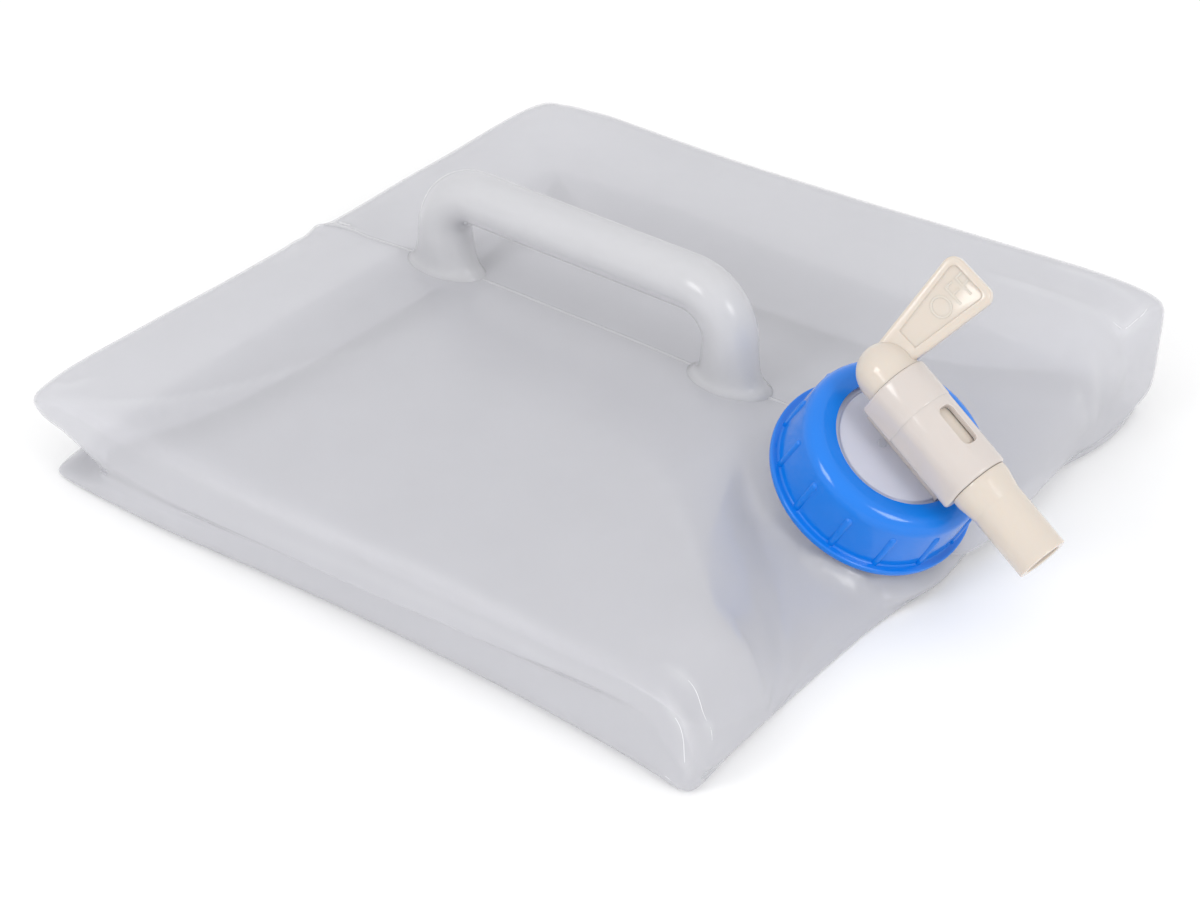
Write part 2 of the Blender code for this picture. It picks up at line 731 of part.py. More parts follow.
def make_plug(material, plug_axis):
    mesh = profile_mesh("tap_plug", plug_outline(), closed=False)
    plug = add_part("tap_plug", mesh, material, plug_axis)
    plug.rotation_euler.z = -LEVER_OFF_ANGLE
    turn(plug, SMALL_STEPS)
    lever = add_tool("lever", lever_mesh("lever", 0.0, 0.0, LEVER_THICKNESS), plug)
    for side in (-1, 1):
        depth = 2 * LEVER_RECESS
        mesh = lever_mesh("lever_recess", LEVER_RIM, LEVER_RECESS_START, depth)
        recess = add_tool("lever_recess", mesh, plug)
        recess.location.x = side * LEVER_THICKNESS / 2
        combine(lever, recess, "DIFFERENCE")
    combine(plug, lever, "UNION")
    port_mesh = plate_mesh("core_port", rounded_slot(PORT_LENGTH, PORT_WIDTH), PORT_CUT)
    lie_down = Matrix.Translation((0, -bore_radius(), PORT_CENTRE)) @ Matrix.Rotation(pi / 2, 4, "X")
    port_mesh.transform(Matrix.Rotation(LEVER_OFF_ANGLE - QUARTER_TURN, 4, "Z") @ lie_down)
    combine(plug, add_tool("core_port", port_mesh, plug), "DIFFERENCE")
    return plug


def build():
    clear_scene()
    make_collection(BAG_NAME)
    make_collection(TOOLS_NAME)
    film = make_material("blow_moulded_film", (0.62, 0.62, 0.65), 0.25, 0.6)
    thick_film = make_material("thick_film", (0.70, 0.70, 0.73), 0.3, 0.3)
    blue = make_material("blue_collar_plastic", (0.013, 0.20, 0.78), 0.3)
    ivory = make_material("ivory_plastic", (0.76, 0.70, 0.62), 0.35)
    natural = make_material("natural_plastic", (0.70, 0.68, 0.68), 0.35, 0.3)
    foam = make_material("white_foam_gasket", (0.80, 0.80, 0.78), 0.8)
    neck_axis = add_empty("neck_axis", None, (NECK_X, NECK_Y, NECK_Z), (NECK_LEAN, 0, NECK_YAW))
    tap_axis = add_empty("tap_axis", neck_axis, (0, 0, 0), (0, 0, TAP_TWIST))
    plug_axis = add_empty("plug_axis", tap_axis, (0, 0, BARREL_HEIGHT), (pi / 2, 0, 0))
    make_bag(film)
    make_handle(thick_film)
    make_neck(thick_film, neck_axis)
    make_gasket(foam, neck_axis)
    make_collar(blue, neck_axis)
    make_tap_body(natural, tap_axis)
    make_plug(ivory, plug_axis)


build()
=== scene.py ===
"""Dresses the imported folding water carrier: pressed film bag, tube handle, blue screw
collar and ivory quarter-turn tap, with their moulded plastics, a pale floor and soft light.

Lengths are in metres, angles in radians, and every piece lies in the frame of the solids.
"""

from collections import namedtuple
from math import cos, exp, pi, radians, sin

import bmesh
import bpy
import numpy as np
from bpy.props import FloatProperty, FloatVectorProperty, IntProperty, PointerProperty
from mathutils import Matrix, Vector
from mathutils.bvhtree import BVHTree
from mathutils.kdtree import KDTree
from mathutils.noise import noise as waver


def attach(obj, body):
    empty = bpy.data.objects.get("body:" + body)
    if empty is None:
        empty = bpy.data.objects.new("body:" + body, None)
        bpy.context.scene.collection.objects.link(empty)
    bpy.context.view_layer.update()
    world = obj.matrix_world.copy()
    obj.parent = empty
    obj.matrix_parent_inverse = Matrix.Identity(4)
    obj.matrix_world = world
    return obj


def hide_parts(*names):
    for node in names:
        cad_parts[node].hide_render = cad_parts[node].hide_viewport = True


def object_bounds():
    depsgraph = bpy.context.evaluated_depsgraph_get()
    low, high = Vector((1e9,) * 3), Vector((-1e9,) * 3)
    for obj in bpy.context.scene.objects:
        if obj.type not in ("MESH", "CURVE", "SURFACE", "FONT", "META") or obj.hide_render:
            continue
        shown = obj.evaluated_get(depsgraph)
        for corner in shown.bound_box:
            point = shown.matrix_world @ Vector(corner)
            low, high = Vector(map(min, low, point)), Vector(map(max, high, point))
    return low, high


bl_info = {
    "name": "Folding Water Carrier",
    "version": (1, 0, 0),
    "blender": (4, 5, 0),
    "location": "3D View > Sidebar > Water Carrier",
    "description": "Models and finishes a pressed-flat water carrier with a rotary tap",
    "category": "Add Mesh",
}

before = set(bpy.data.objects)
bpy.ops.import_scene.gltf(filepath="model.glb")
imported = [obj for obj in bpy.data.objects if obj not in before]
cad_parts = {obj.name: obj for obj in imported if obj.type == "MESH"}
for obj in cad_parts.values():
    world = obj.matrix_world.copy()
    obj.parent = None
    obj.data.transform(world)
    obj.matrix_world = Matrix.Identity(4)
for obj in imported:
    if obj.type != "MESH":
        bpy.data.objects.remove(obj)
CAD_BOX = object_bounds()

# The film keeps this far inside the solids' box, so that its ridges lie inside it too
RIDGE_ROOM = 0.0001

# The bag's cage: lines across a half panel and up a half wall, as shares, and the line
# across the panel where the opening for the neck ends
PANEL_LINES = (0, 0.195, 0.383, 0.556, 0.707, 0.831, 0.924, 1)
WALL_LINES = (0, 0.5, 0.866, 1)
OPENING_LINE = 0.383

# The neck's frame, which the gasket, collar and tap share: it is turned and leans forward
NECK_TURN, NECK_LEAN = radians(-11.5), radians(31.15)
NECK_FRAME = (Matrix.Translation((-0.006, -0.1019, 0.0292)) @ Matrix.Rotation(NECK_TURN, 4, "Z")
              @ Matrix.Rotation(NECK_LEAN, 4, "X"))

# In that frame, the film's last ring on the slope, then the throat that it runs up
SLOPE_RING_RADIUS, SLOPE_RING_HEIGHT, SLOPE_RING_TILT = 0.0395, -0.0100, 0.0036
THROAT_RADIUS = 0.0262
THROAT_HEIGHTS = (-0.0048, -0.0028)

# The tap is clamped a little turned; its barrel lies across it and the plug lies in the barrel
TAP_TURN = radians(4.3)
TAP_FRAME = NECK_FRAME @ Matrix.Rotation(TAP_TURN, 4, "Z")
ALONG_BARREL = Matrix.Rotation(pi / 2, 4, "X")
BARREL_HEIGHT = 0.0364
BARREL_FRAME = TAP_FRAME @ Matrix.Translation((0, 0, BARREL_HEIGHT)) @ ALONG_BARREL
LEVER_ANGLE = radians(40)
PLUG_FRAME = BARREL_FRAME @ Matrix.Rotation(-LEVER_ANGLE, 4, "Z")
DISC_BASE, DISC_TOP = 0.0181, 0.0201


# A fold pressed into the film: points in millimetres, how far it stands up and reaches to
# each side, how white it is painted along it (partly its real stress whitening, partly a
# painted highlight), and the radius of its sharp ridge, also in millimetres
Crease = namedtuple("Crease", "points rise reach white ridge")
CREASES = (
    # Front left corner: two folds that run down the upright, and one on the lower flap
    Crease(((-116.2, -108.0, 32.0), (-115.8, -114.6, 31.5), (-115.5, -119.7, 30.0),
            (-116.5, -123.4, 28.4), (-118.7, -126.8, 24.8), (-117.2, -127.4, 18.9),
            (-116.7, -127.6, 12.3)), 0.5, 7, 0.5, 0.17),
    Crease(((-122.6, -113.4, 31.0), (-124.7, -117.5, 29.6), (-126.4, -122.6, 26.6),
            (-125.9, -124.4, 21.5), (-125.4, -124.8, 16.2), (-124.7, -125.6, 4.9)),
            0.4, 5, 0.6, 0.17),
    Crease(((-118.1, -107.7, 4.6), (-120.2, -114.4, 4.7), (-122.1, -118.0, 4.6),
            (-124.2, -123.1, 2.5)), 0.4, 5, 0.6, 0.15),
    # Left side: the wall's long fold, the fainter one over it and the flap's curve
    Crease(((-126.0, 60.0, 20.0), (-126.0, 38.5, 19.5), (-126.7, 0.7, 23.0),
            (-126.4, -44.0, 25.6), (-126.6, -83.1, 25.6), (-126.4, -111.2, 27.6),
            (-126.1, -122.4, 27.2)), 0.35, 6, 0.15, 0.0),
    Crease(((-126.4, 86.5, 26.6), (-125.9, 53.6, 28.4), (-125.1, 2.4, 30.4),
            (-123.4, -32.0, 31.8), (-123.9, -80.9, 31.7), (-121.1, -109.8, 31.7)),
            0.3, 6, 0.25, 0.0),
    Crease(((-118.0, -54.3, 5.5), (-114.0, -83.2, 5.4), (-114.4, -102.2, 5.3),
            (-119.7, -115.0, 7.3), (-122.2, -118.9, 6.9)), 0.5, 6, 0.25, 0.0),
    # Left corner: a fold that runs out over the panel, and a short one above it
    Crease(((-122.1, 124.3, 29.0), (-124.8, 111.8, 30.3), (-117.5, 94.9, 33.0),
            (-100.9, 78.0, 34.1), (-72.3, 62.7, 35.5), (-33.4, 46.1, 37.3)), 0.7, 12, 0.2, 0.0),
    Crease(((-120.4, 124.7, 29.3), (-118.7, 115.6, 31.7), (-110.4, 111.3, 32.7)),
            0.6, 6, 0.25, 0.0),
    # Back edge: the seam's end stands up between two short tucks, and a dip by the far corner
    Crease(((0.0, 100.0, 37.0), (0.0, 110.0, 35.5), (0.0, 118.0, 33.2), (-0.5, 124.0, 29.5),
            (-1.0, 126.0, 22.0), (-1.0, 122.0, 14.0)), 1.8, 7, 0.2, 0.0),
    Crease(((-22.0, 112.0, 34.5), (-15.0, 119.0, 32.5), (-10.0, 124.0, 29.0),
            (-8.0, 125.5, 22.0)), 0.6, 5, 0.2, 0.0),
    Crease(((124.0, 124.0, 28.0), (126.5, 116.0, 30.5), (127.0, 108.0, 32.0),
            (127.0, 98.0, 33.0)), -1.2, 9, 0.0, 0.0),
    # Front slope: where the panel breaks down to the neck, and the swell below the collar
    Crease(((-41.3, -40.6, 36.1), (-54.8, -64.4, 35.7), (-69.6, -83.7, 35.1),
            (-85.8, -103.6, 33.0), (-90.3, -117.5, 26.7)), 0.7, 14, 0.15, 0.0),
    Crease(((-37.5, -100.0, 20.5), (-34.0, -105.5, 18.0), (-31.3, -110.2, 15.5),
            (-28.8, -114.5, 12.5), (-26.0, -119.0, 8.5)), 2.2, 9, 0.0, 0.0),
    # Right corner: the rolled edge, its end at the nose and the tucks below it
    Crease(((101.1, -70.0, 38.5), (100.9, -93.1, 38.6), (101.3, -109.8, 37.6),
            (103.6, -117.5, 35.9), (105.2, -122.0, 34.0), (113.9, -123.0, 35.0),
            (122.3, -122.6, 36.4)), 0.9, 6, 0.4, 0.0),
    Crease(((101.8, -113.0, 37.0), (103.6, -117.5, 35.9), (105.2, -122.0, 34.0),
            (113.9, -123.0, 35.0), (122.3, -122.6, 36.4)), 0.3, 4, 0.6, 0.15),
    Crease(((118.0, -84.0, 39.1), (118.1, -102.3, 39.3), (117.3, -113.9, 38.5),
            (117.6, -123.1, 35.4)), 0.7, 6, 0.3, 0.0),
    Crease(((100.7, -110.1, 37.5), (91.5, -111.3, 35.4), (79.5, -115.5, 31.2),
            (71.5, -116.4, 28.3)), -1.0, 8, 0.0, 0.0),
    Crease(((99.4, -111.6, 37.0), (102.7, -118.0, 35.6), (102.8, -125.0, 30.0),
            (102.3, -128.1, 11.8)), -0.9, 7, 0.0, 0.0),
    Crease(((78.2, -121.0, 27.5), (75.5, -125.4, 20.7), (76.1, -127.8, 11.8)), 0.7, 5, 0.3, 0.0),
    Crease(((91.9, -117.4, 33.2), (87.7, -121.6, 29.5), (83.3, -126.6, 20.8),
            (83.0, -128.8, 7.0)), 0.7, 5, 0.3, 0.0),
)


def linear(code):
    """The linear colour of an sRGB hex value."""
    parts = [int(code[start:start + 2], 16) / 255 for start in (1, 3, 5)]
    return [p / 12.92 if p <= 0.04045 else ((p + 0.055) / 1.055) ** 2.4 for p in parts]


def distance(name, description, default):
    """A length that a user may set."""
    return FloatProperty(name=name, description=description, default=default, min=0.0,
                         unit="LENGTH", subtype="DISTANCE", precision=5)


def colour(name, description, default):
    """A colour that a user may set, its default as an sRGB hex value."""
    return FloatVectorProperty(name=name, description=description, default=linear(default),
                               subtype="COLOR", size=3, min=0.0, max=1.0)


class BagSizes(bpy.types.PropertyGroup):
    film: distance("Film", "Thickness of the blown film", 0.0006)
    edge_height: distance("Edge height", "Height of the top panel's edges", 0.0332)
    ridge_height: distance("Ridge height", "Height of the panel along its seam", 0.039)
    seam_radius: distance("Seam", "Radius of the raised mould seam", 0.0007)


class HandleSizes(bpy.types.PropertyGroup):
    radius: distance("Grip radius", "Outer radius of the tube", 0.0085)
    wall: distance("Wall", "Wall of the blown tube", 0.0013)
    top: distance("Top", "Height of the grip's upper side", 0.076)
    bend: distance("Bend", "Radius of the tube's two bends", 0.015)


class CapSizes(bpy.types.PropertyGroup):
    flange_radius: distance("Flange", "Radius of the collar's flange", 0.032)
    collar_radius: distance("Collar", "Radius of the collar's wall at its foot", 0.0296)
    lip_radius: distance("Lip", "Radius of the opening that shows the disc", 0.0203)
    ribs: IntProperty(name="Ribs", description="Grip ribs round the collar", default=13, min=3)
    thread_pitch: distance("Pitch", "Lift of the cap for each turn", 0.006)


class TapSizes(bpy.types.PropertyGroup):
    barrel_radius: distance("Barrel", "Outer radius of the barrel", 0.0098)
    spout_radius: distance("Spout", "Outer radius of the spout", 0.0078)
    lever_reach: distance("Lever", "Length of the lever from the barrel's axis", 0.0372)
    letter_height: distance("Letters", "Height of the raised letters", 0.0072)


class Finishes(bpy.types.PropertyGroup):
    film: colour("Film", "Milky blown film", "#D8D8DD")
    # The fold colour is partly the film's real stress whitening and partly a painted highlight
    # along its creases
    film_fold_and_highlight: colour("Fold", "Stress-whitened film along a fold", "#EEEEF2")
    handle: colour("Handle", "Thicker blown wall", "#DADADD")
    collar: colour("Collar", "Blue moulded collar", "#0474D8")
    ivory: colour("Plug", "Ivory moulded plug", "#CEC4B9")
    natural: colour("Barrel", "Uncoloured moulded barrel", "#C9C1BC")
    # The disc's bluish tint is a painted reflection of the blue collar's light on the uncoloured
    # disc
    disc: colour("Disc", "Uncoloured moulded disc, bluish beside the collar", "#E2E4F2")
    gasket: colour("Gasket", "White foam washer", "#E9E9E5")
    floor: colour("Floor", "Pale floor", "#F7F7F7")


class CarrierSettings(bpy.types.PropertyGroup):
    bag: PointerProperty(type=BagSizes)
    handle: PointerProperty(type=HandleSizes)
    cap: PointerProperty(type=CapSizes)
    tap: PointerProperty(type=TapSizes)
    finish: PointerProperty(type=Finishes)


def add_node(tree, kind, settings=(), **links):
    """Add a node; each setting is an attribute or a socket's value, each link a socket's source."""
    node = tree.nodes.new(kind)
    for name, value in dict(settings).items():
        if hasattr(node, name):
            setattr(node, name, value)
        else:
            node.inputs[name].default_value = value
    for name, source in links.items():
        tree.links.new(source, node.inputs[name.replace("_", " ")])
    return node


def new_material(name):
    """A material with its output and shader, and the coordinates that its patterns lie in."""
    material = bpy.data.materials.new(name)
    material.use_nodes = True
    tree = material.node_tree
    tree.nodes.clear()
    shader = add_node(tree, "ShaderNodeBsdfPrincipled")
    add_node(tree, "ShaderNodeOutputMaterial", Surface=shader.outputs[0])
    place = add_node(tree, "ShaderNodeTexCoord").outputs["Object"]
    return material, tree, shader, place


def set_shader(shader, **values):
    """Set the shader's uniform values on its own sockets."""
    for name, value in values.items():
        shader.inputs[name.replace("_", " ")].default_value = value


def rgba(values):
    """A colour with full alpha."""
    return (*values, 1.0)


def mottle(tree, shader, place, tone, low, high, cell):
    """Vary a colour softly between two strengths, in cells of a size; return its socket."""
    noise = add_node(tree, "ShaderNodeTexNoise", {"Scale": 1 / cell, "Detail": 3.0}, Vector=place)
    shift = add_node(tree, "ShaderNodeMapRange", {"To Min": low, "To Max": high},
                     Value=noise.outputs["Fac"])
    hue = add_node(tree, "ShaderNodeHueSaturation", {"Color": rgba(tone)}, Value=shift.outputs[0])
    tree.links.new(hue.outputs[0], shader.inputs["Base Color"])
    return hue.outputs[0]


def add_relief(tree, shader, place, cell, depth):
    """Raise a soft pattern of cells of a size by a depth."""
    noise = add_node(tree, "ShaderNodeTexNoise", {"Scale": 1 / cell, "Detail": 2.0}, Vector=place)
    bump = add_node(tree, "ShaderNodeBump", {"Strength": 1.0, "Distance": depth},
                    Height=noise.outputs["Fac"])
    tree.links.new(bump.outputs[0], shader.inputs["Normal"])


def vary_roughness(tree, shader, place, cell, low, high):
    """Vary the roughness softly between two values, in cells of a size."""
    noise = add_node(tree, "ShaderNodeTexNoise", {"Scale": 1 / cell, "Detail": 4.0}, Vector=place)
    rough = add_node(tree, "ShaderNodeMapRange", {"To Min": low, "To Max": high},
                     Value=noise.outputs["Fac"])
    tree.links.new(rough.outputs[0], shader.inputs["Roughness"])


def add_mould_skin(tree, shader, place, cell):
    """The even gloss of a polished mould, with its faint orange peel.

    The real peel has cells of about 1 mm, too fine to show, so it is drawn at 4 to 5 mm.
    """
    add_relief(tree, shader, place, cell, 0.00002)
    vary_roughness(tree, shader, place, 0.004, 0.12, 0.18)


def folded_film(finish):
    """Low-density polyethylene film creased sharply: whitened, nearly opaque and bright; its white
    is partly real stress whitening and partly a painted highlight along the ridge.
    """
    material, tree, shader, place = new_material("ldpe_folded_film_painted_highlight")
    mottle(tree, shader, place, finish.film_fold_and_highlight, 0.97, 1.0, 0.010)
    vary_roughness(tree, shader, place, 0.010, 0.15, 0.25)
    set_shader(shader, IOR=1.5, Alpha=0.7)
    return material


def blown_film(finish):
    """Low-density polyethylene, extrusion-blown: milky and see-through, with a soft sheen,
    whitened where it has been folded, a white that is partly real stress whitening and partly
    a painted highlight along the folds. Its milkiness and waves run over 18 to 30 mm."""
    material, tree, shader, place = new_material("ldpe_blown_film")
    milky = mottle(tree, shader, place, finish.film, 0.97, 1.03, 0.030)
    fold = add_node(tree, "ShaderNodeAttribute", {"attribute_name": "fold_whitening_and_painted_highlight"})
    mixed = add_node(tree, "ShaderNodeMix", {"data_type": "RGBA"}, Factor=fold.outputs["Fac"])
    plain_in, folded_in = [socket for socket in mixed.inputs if socket.type == "RGBA"]
    colour_out = [socket for socket in mixed.outputs if socket.type == "RGBA"][0]
    tree.links.new(milky, plain_in)
    folded_in.default_value = rgba(finish.film_fold_and_highlight)
    tree.links.new(colour_out, shader.inputs["Base Color"])
    add_relief(tree, shader, place, 0.018, 0.0002)
    vary_roughness(tree, shader, place, 0.020, 0.13, 0.20)
    set_shader(shader, IOR=1.5, Alpha=0.45)
    return material


def blown_tube(finish):
    """The same blown polyethylene, thicker: paler, less see-through and glossier. It is made
    once, for the handle, the neck and the seams."""
    made = bpy.data.materials.get("ldpe_blown_tube")
    if made:
        return made
    material, tree, shader, place = new_material("ldpe_blown_tube")
    mottle(tree, shader, place, finish.handle, 0.97, 1.03, 0.020)
    add_relief(tree, shader, place, 0.015, 0.0001)
    vary_roughness(tree, shader, place, 0.020, 0.12, 0.18)
    set_shader(shader, IOR=1.5, Alpha=0.52)
    return material


def moulded_blue(finish):
    """Polypropylene, injection-moulded and coloured through: deep blue with a clear gloss."""
    material, tree, shader, place = new_material("polypropylene_moulded_blue")
    mottle(tree, shader, place, finish.collar, 0.96, 1.04, 0.015)
    add_mould_skin(tree, shader, place, 0.004)
    set_shader(shader, IOR=1.49)
    return material


def moulded_ivory(finish):
    """Polypropylene, injection-moulded in ivory: waxy and warm, with soft highlights."""
    material, tree, shader, place = new_material("polypropylene_moulded_ivory")
    mottle(tree, shader, place, finish.ivory, 0.98, 1.02, 0.012)
    add_mould_skin(tree, shader, place, 0.005)
    set_shader(shader, IOR=1.49, Subsurface_Weight=0.35, Subsurface_Scale=0.0015,
               Subsurface_Radius=(1.0, 0.7, 0.5))
    return material


def moulded_natural(name, tone, transmission):
    """Polypropylene, injection-moulded without colour: cloudy and light-carrying."""
    material, tree, shader, place = new_material(name)
    mottle(tree, shader, place, tone, 0.98, 1.02, 0.012)
    add_mould_skin(tree, shader, place, 0.005)
    set_shader(shader, IOR=1.49, Transmission_Weight=transmission, Subsurface_Weight=0.3,
               Subsurface_Scale=0.0015, Subsurface_Radius=(1.0, 0.8, 0.7))
    return material


def cut_foam(finish):
    """Polyethylene foam, die-cut: white, matt and finely pored. The real pores are about
    0.3 mm across and are drawn at 0.6 mm, so that they show."""
    material, tree, shader, place = new_material("polyethylene_foam_cut")
    mottle(tree, shader, place, finish.gasket, 0.94, 1.02, 0.002)
    add_relief(tree, shader, place, 0.0006, 0.0001)
    vary_roughness(tree, shader, place, 0.002, 0.8, 0.95)
    set_shader(shader, IOR=1.45)
    return material


def painted_floor(finish):
    """Matt white paint, rolled in 200 mm laps: pale and even, with hardly any sheen."""
    material, tree, shader, place = new_material("white_paint_rolled")
    mottle(tree, shader, place, finish.floor, 0.995, 1.0, 0.200)
    set_shader(shader, Roughness=0.9, IOR=1.3)
    return material


def link_object(name, data):
    """Put a mesh, curve, light or camera into the scene as an object at the origin."""
    obj = bpy.data.objects.new(name, data)
    bpy.context.scene.collection.objects.link(obj)
    return obj


def keep_mesh(shape, name, material, sharp=None):
    """Make the shape an object with its material; edges past the sharp angle stay crisp."""
    mesh = bpy.data.meshes.new(name)
    shape.to_mesh(mesh)
    shape.free()
    mesh.shade_smooth()
    if sharp:
        mesh.set_sharp_from_angle(angle=sharp)
    mesh.materials.append(material)
    return link_object(name, mesh)


def make_tool(shape, place):
    """Place a shape and keep it as a cutting or joining tool."""
    bmesh.ops.transform(shape, matrix=place, verts=shape.verts)
    mesh = bpy.data.meshes.new("tool")
    shape.to_mesh(mesh)
    shape.free()
    return link_object("tool", mesh)


def evaluated_mesh(obj):
    """A new mesh of the object as its modifiers or its curve give it."""
    bpy.context.view_layer.update()
    depsgraph = bpy.context.evaluated_depsgraph_get()
    return bpy.data.meshes.new_from_object(obj.evaluated_get(depsgraph))


def bake_modifiers(obj):
    """Give the object its evaluated mesh and drop the modifiers."""
    mesh = evaluated_mesh(obj)
    obj.modifiers.clear()
    obj.data = mesh


def combine(obj, tool, operation):
    """Join or cut with a tool that goes away afterwards."""
    change = obj.modifiers.new("Combine", "BOOLEAN")
    change.operation = operation
    change.solver = "EXACT"
    change.object = tool
    bake_modifiers(obj)
    bpy.data.objects.remove(tool, do_unlink=True)


def round_edges(obj, width):
    """Round the edges that are sharper than 40 degrees."""
    bevel = obj.modifiers.new("Round", "BEVEL")
    bevel.width = width
    bevel.segments = 3
    bevel.profile = 0.5
    bevel.limit_method = "ANGLE"
    bevel.angle_limit = radians(40)
    bevel.harden_normals = False
    bake_modifiers(obj)
    obj.data.set_sharp_from_angle(angle=radians(50))


def add_wall(obj, thickness):
    """Give an open surface its wall, on the inside."""
    wall = obj.modifiers.new("Wall", "SOLIDIFY")
    wall.thickness = thickness
    wall.offset = -1.0
    bake_modifiers(obj)


def soften(points, radius):
    """Round a section's corners between its ends, or less where its sides are short."""
    steps = 4
    made = [tuple(points[0])]
    for before, here, after in zip(points, points[1:], points[2:]):
        before, here, after = Vector(before), Vector(here), Vector(after)
        reach = min(radius, (before - here).length / 2.2, (after - here).length / 2.2)
        start = here + (before - here).normalized() * reach
        end = here + (after - here).normalized() * reach
        for step in range(steps + 1):
            share = step / steps
            spot = start.lerp(here, share).lerp(here.lerp(end, share), share)
            made.append(tuple(spot))
    return made + [tuple(points[-1])]


def spin_section(section, steps, closed):
    """Spin a section of radius and height pairs once round Z."""
    shape = bmesh.new()
    verts = [shape.verts.new((radius, 0, height)) for radius, height in section]
    edges = [shape.edges.new(pair) for pair in zip(verts, verts[1:])]
    if closed:
        edges.append(shape.edges.new((verts[-1], verts[0])))
    bmesh.ops.spin(shape, geom=verts + edges, axis=(0, 0, 1), cent=(0, 0, 0), dvec=(0, 0, 0),
                   angle=2 * pi, steps=steps, use_merge=True)
    bmesh.ops.remove_doubles(shape, verts=shape.verts, dist=0.000002)
    bmesh.ops.recalc_face_normals(shape, faces=shape.faces)
    return shape


def sweep(places, sides, capped=True, shape=None):
    """Draw a unit circle through its places, each a matrix that sets its size and stance."""
    shape = shape or bmesh.new()
    start = bmesh.ops.create_circle(shape, segments=sides, radius=1.0, matrix=places[0])["verts"]
    rim = list(dict.fromkeys(edge for vert in start for edge in vert.link_edges))
    for before, after in zip(places, places[1:]):
        grown = bmesh.ops.extrude_edge_only(shape, edges=rim)["geom"]
        verts = [g for g in grown if isinstance(g, bmesh.types.BMVert)]
        rim = [g for g in grown if isinstance(g, bmesh.types.BMEdge) and g.is_boundary]
        bmesh.ops.transform(shape, matrix=after @ before.inverted(), verts=verts)
    if capped:
        ends = [e for e in shape.edges if e.is_boundary]
        bmesh.ops.holes_fill(shape, edges=ends, sides=sides)
    bmesh.ops.recalc_face_normals(shape, faces=shape.faces)
    return shape


def stance(point, along, radii, up=Vector((0, 0, 1))):
    """A place for a swept circle: its middle, its direction and its two radii."""
    z = along.normalized()
    x = up.cross(z).normalized()
    turn = Matrix((x, z.cross(x), z)).transposed().to_4x4()
    scale = Matrix.Diagonal((radii[0], radii[1], (radii[0] + radii[1]) / 2, 1))
    return Matrix.Translation(point) @ turn @ scale


def line_value(lines, share):
    """The cage line for an even share from -1 to 1."""
    index = round(abs(share) * (len(lines) - 1))
    return lines[index] if share > 0 else -lines[index]


def panel_height(bag, u, v):
    """The top panel: a low ridge along the seam, a puffed right side, drooping corners and a
    front that slopes down to its fold."""
    droop, puff, fall = 0.0056, 0.0086, 0.0078
    side = bag.edge_height - droop * abs(u * v) ** 12
    if u > 0:
        side += puff * max(0.0, (0.3 - v) / 1.3)
    ridge = bag.ridge_height - fall * max(v, 0) ** 6
    roof = ridge + (side - ridge) * abs(u)
    low, rise = (0.004, 4) if u < 0 else (0.015, 3)
    front = low + (side - low) * abs(u) ** rise
    start = min(0.9, 0.3 + 1.2 * u * u)
    slope = max(0.0, (-v - start) / (1 - start))
    return roof + (front - roof) * slope ** 1.5


def left_corner(u, v):
    """How near a place of the square is to its back left corner: 1 at the corner itself."""
    return (max(-u, 0) * max(v, 0)) ** 6


def base_point(u, v):
    """The base: hollow sides, a wavy front, a tucked front right corner and a narrow back
    left one."""
    half_width, half_depth = 0.1266, 0.126
    wave, wave_length = 0.0045, 0.74
    front = max(-v, 0) ** 6
    tuck = 0.0072 * max(u, 0) ** 6 * front
    hollow = 0.0042 * max(0.0, 1 - ((v + 0.3) / 0.84) ** 2)
    drawn = 0.0035 * (1 - u ** 6)
    if u > -0.1:
        drawn -= wave * (0.2 + cos(2 * pi * u / wave_length))
    pulled = 0.0030 * left_corner(u, v)
    x = (half_width - hollow) * u - tuck + pulled
    return Vector((x, half_depth * v + drawn * front - pulled, 0.0))


def wall_opens(u, v):
    """How far the left wall has come out of its fold: 0 at the corner behind, then 1."""
    if u > -0.999:
        return 0.0
    share = min(1.0, max(0.0, (0.99 - v) / 0.10))
    return share * share * (3 - 2 * share)


def fold_height(u, v):
    """The height of the wall's fold as a share: low, but on the left it climbs to the front."""
    return 0.22 + 0.24 * (1 - v) * wall_opens(u, v)


def fold_depth(u, v):
    """How far the wall is folded in, from its depth along the side to that at the corner."""
    side_depth, back_depth = 0.060, 0.045
    back_corner, front_corner = 0.017, -0.0035
    corner = back_corner if v > 0 else front_corner
    if abs(u) >= abs(v):
        middle = side_depth * (1 - 0.97 * wall_opens(u, v))
        along = abs(v) ** (3 + 9 * wall_opens(u, v))
    else:
        middle = back_depth if v > 0 else 0.0
        along = abs(u) ** 3
    return middle * (1 - along) + corner * along


def folded_point(bag, u, v, w):
    """Place a point of the full cube on the pressed bag: along the walls the film drops to a
    lip and runs in to a narrow fold, and at the corners it slants there straight."""
    half_side = 0.1272
    top = Vector((half_side * u, half_side * v, panel_height(bag, u, v)))
    base = base_point(u, v)
    # The left half of the front sinks back to the base's wavy edge, the more the lower it is
    if u < 0 and v < -0.999:
        top.y += (base.y - top.y) * (1 - top.z / bag.edge_height)
    edge = top if w > 0 else base
    if max(abs(u), abs(v)) < 0.999:
        return edge
    inward = Vector((-u * abs(u) ** 3, -v * abs(v) ** 3, 0.0))
    fold = base.lerp(top, fold_height(u, v)) + inward * fold_depth(u, v)
    corner = abs(u * v) ** 3
    blunt = 0.9 * left_corner(u, v)
    point = edge.lerp(fold, (1 - abs(w)) ** (3 - 1.6 * corner + blunt))
    slant = 0.15 + 0.85 * corner
    level = slant * abs(w) + (1 - slant) * abs(w) ** 14
    point.z = fold.z + (edge.z - fold.z) * level
    return point


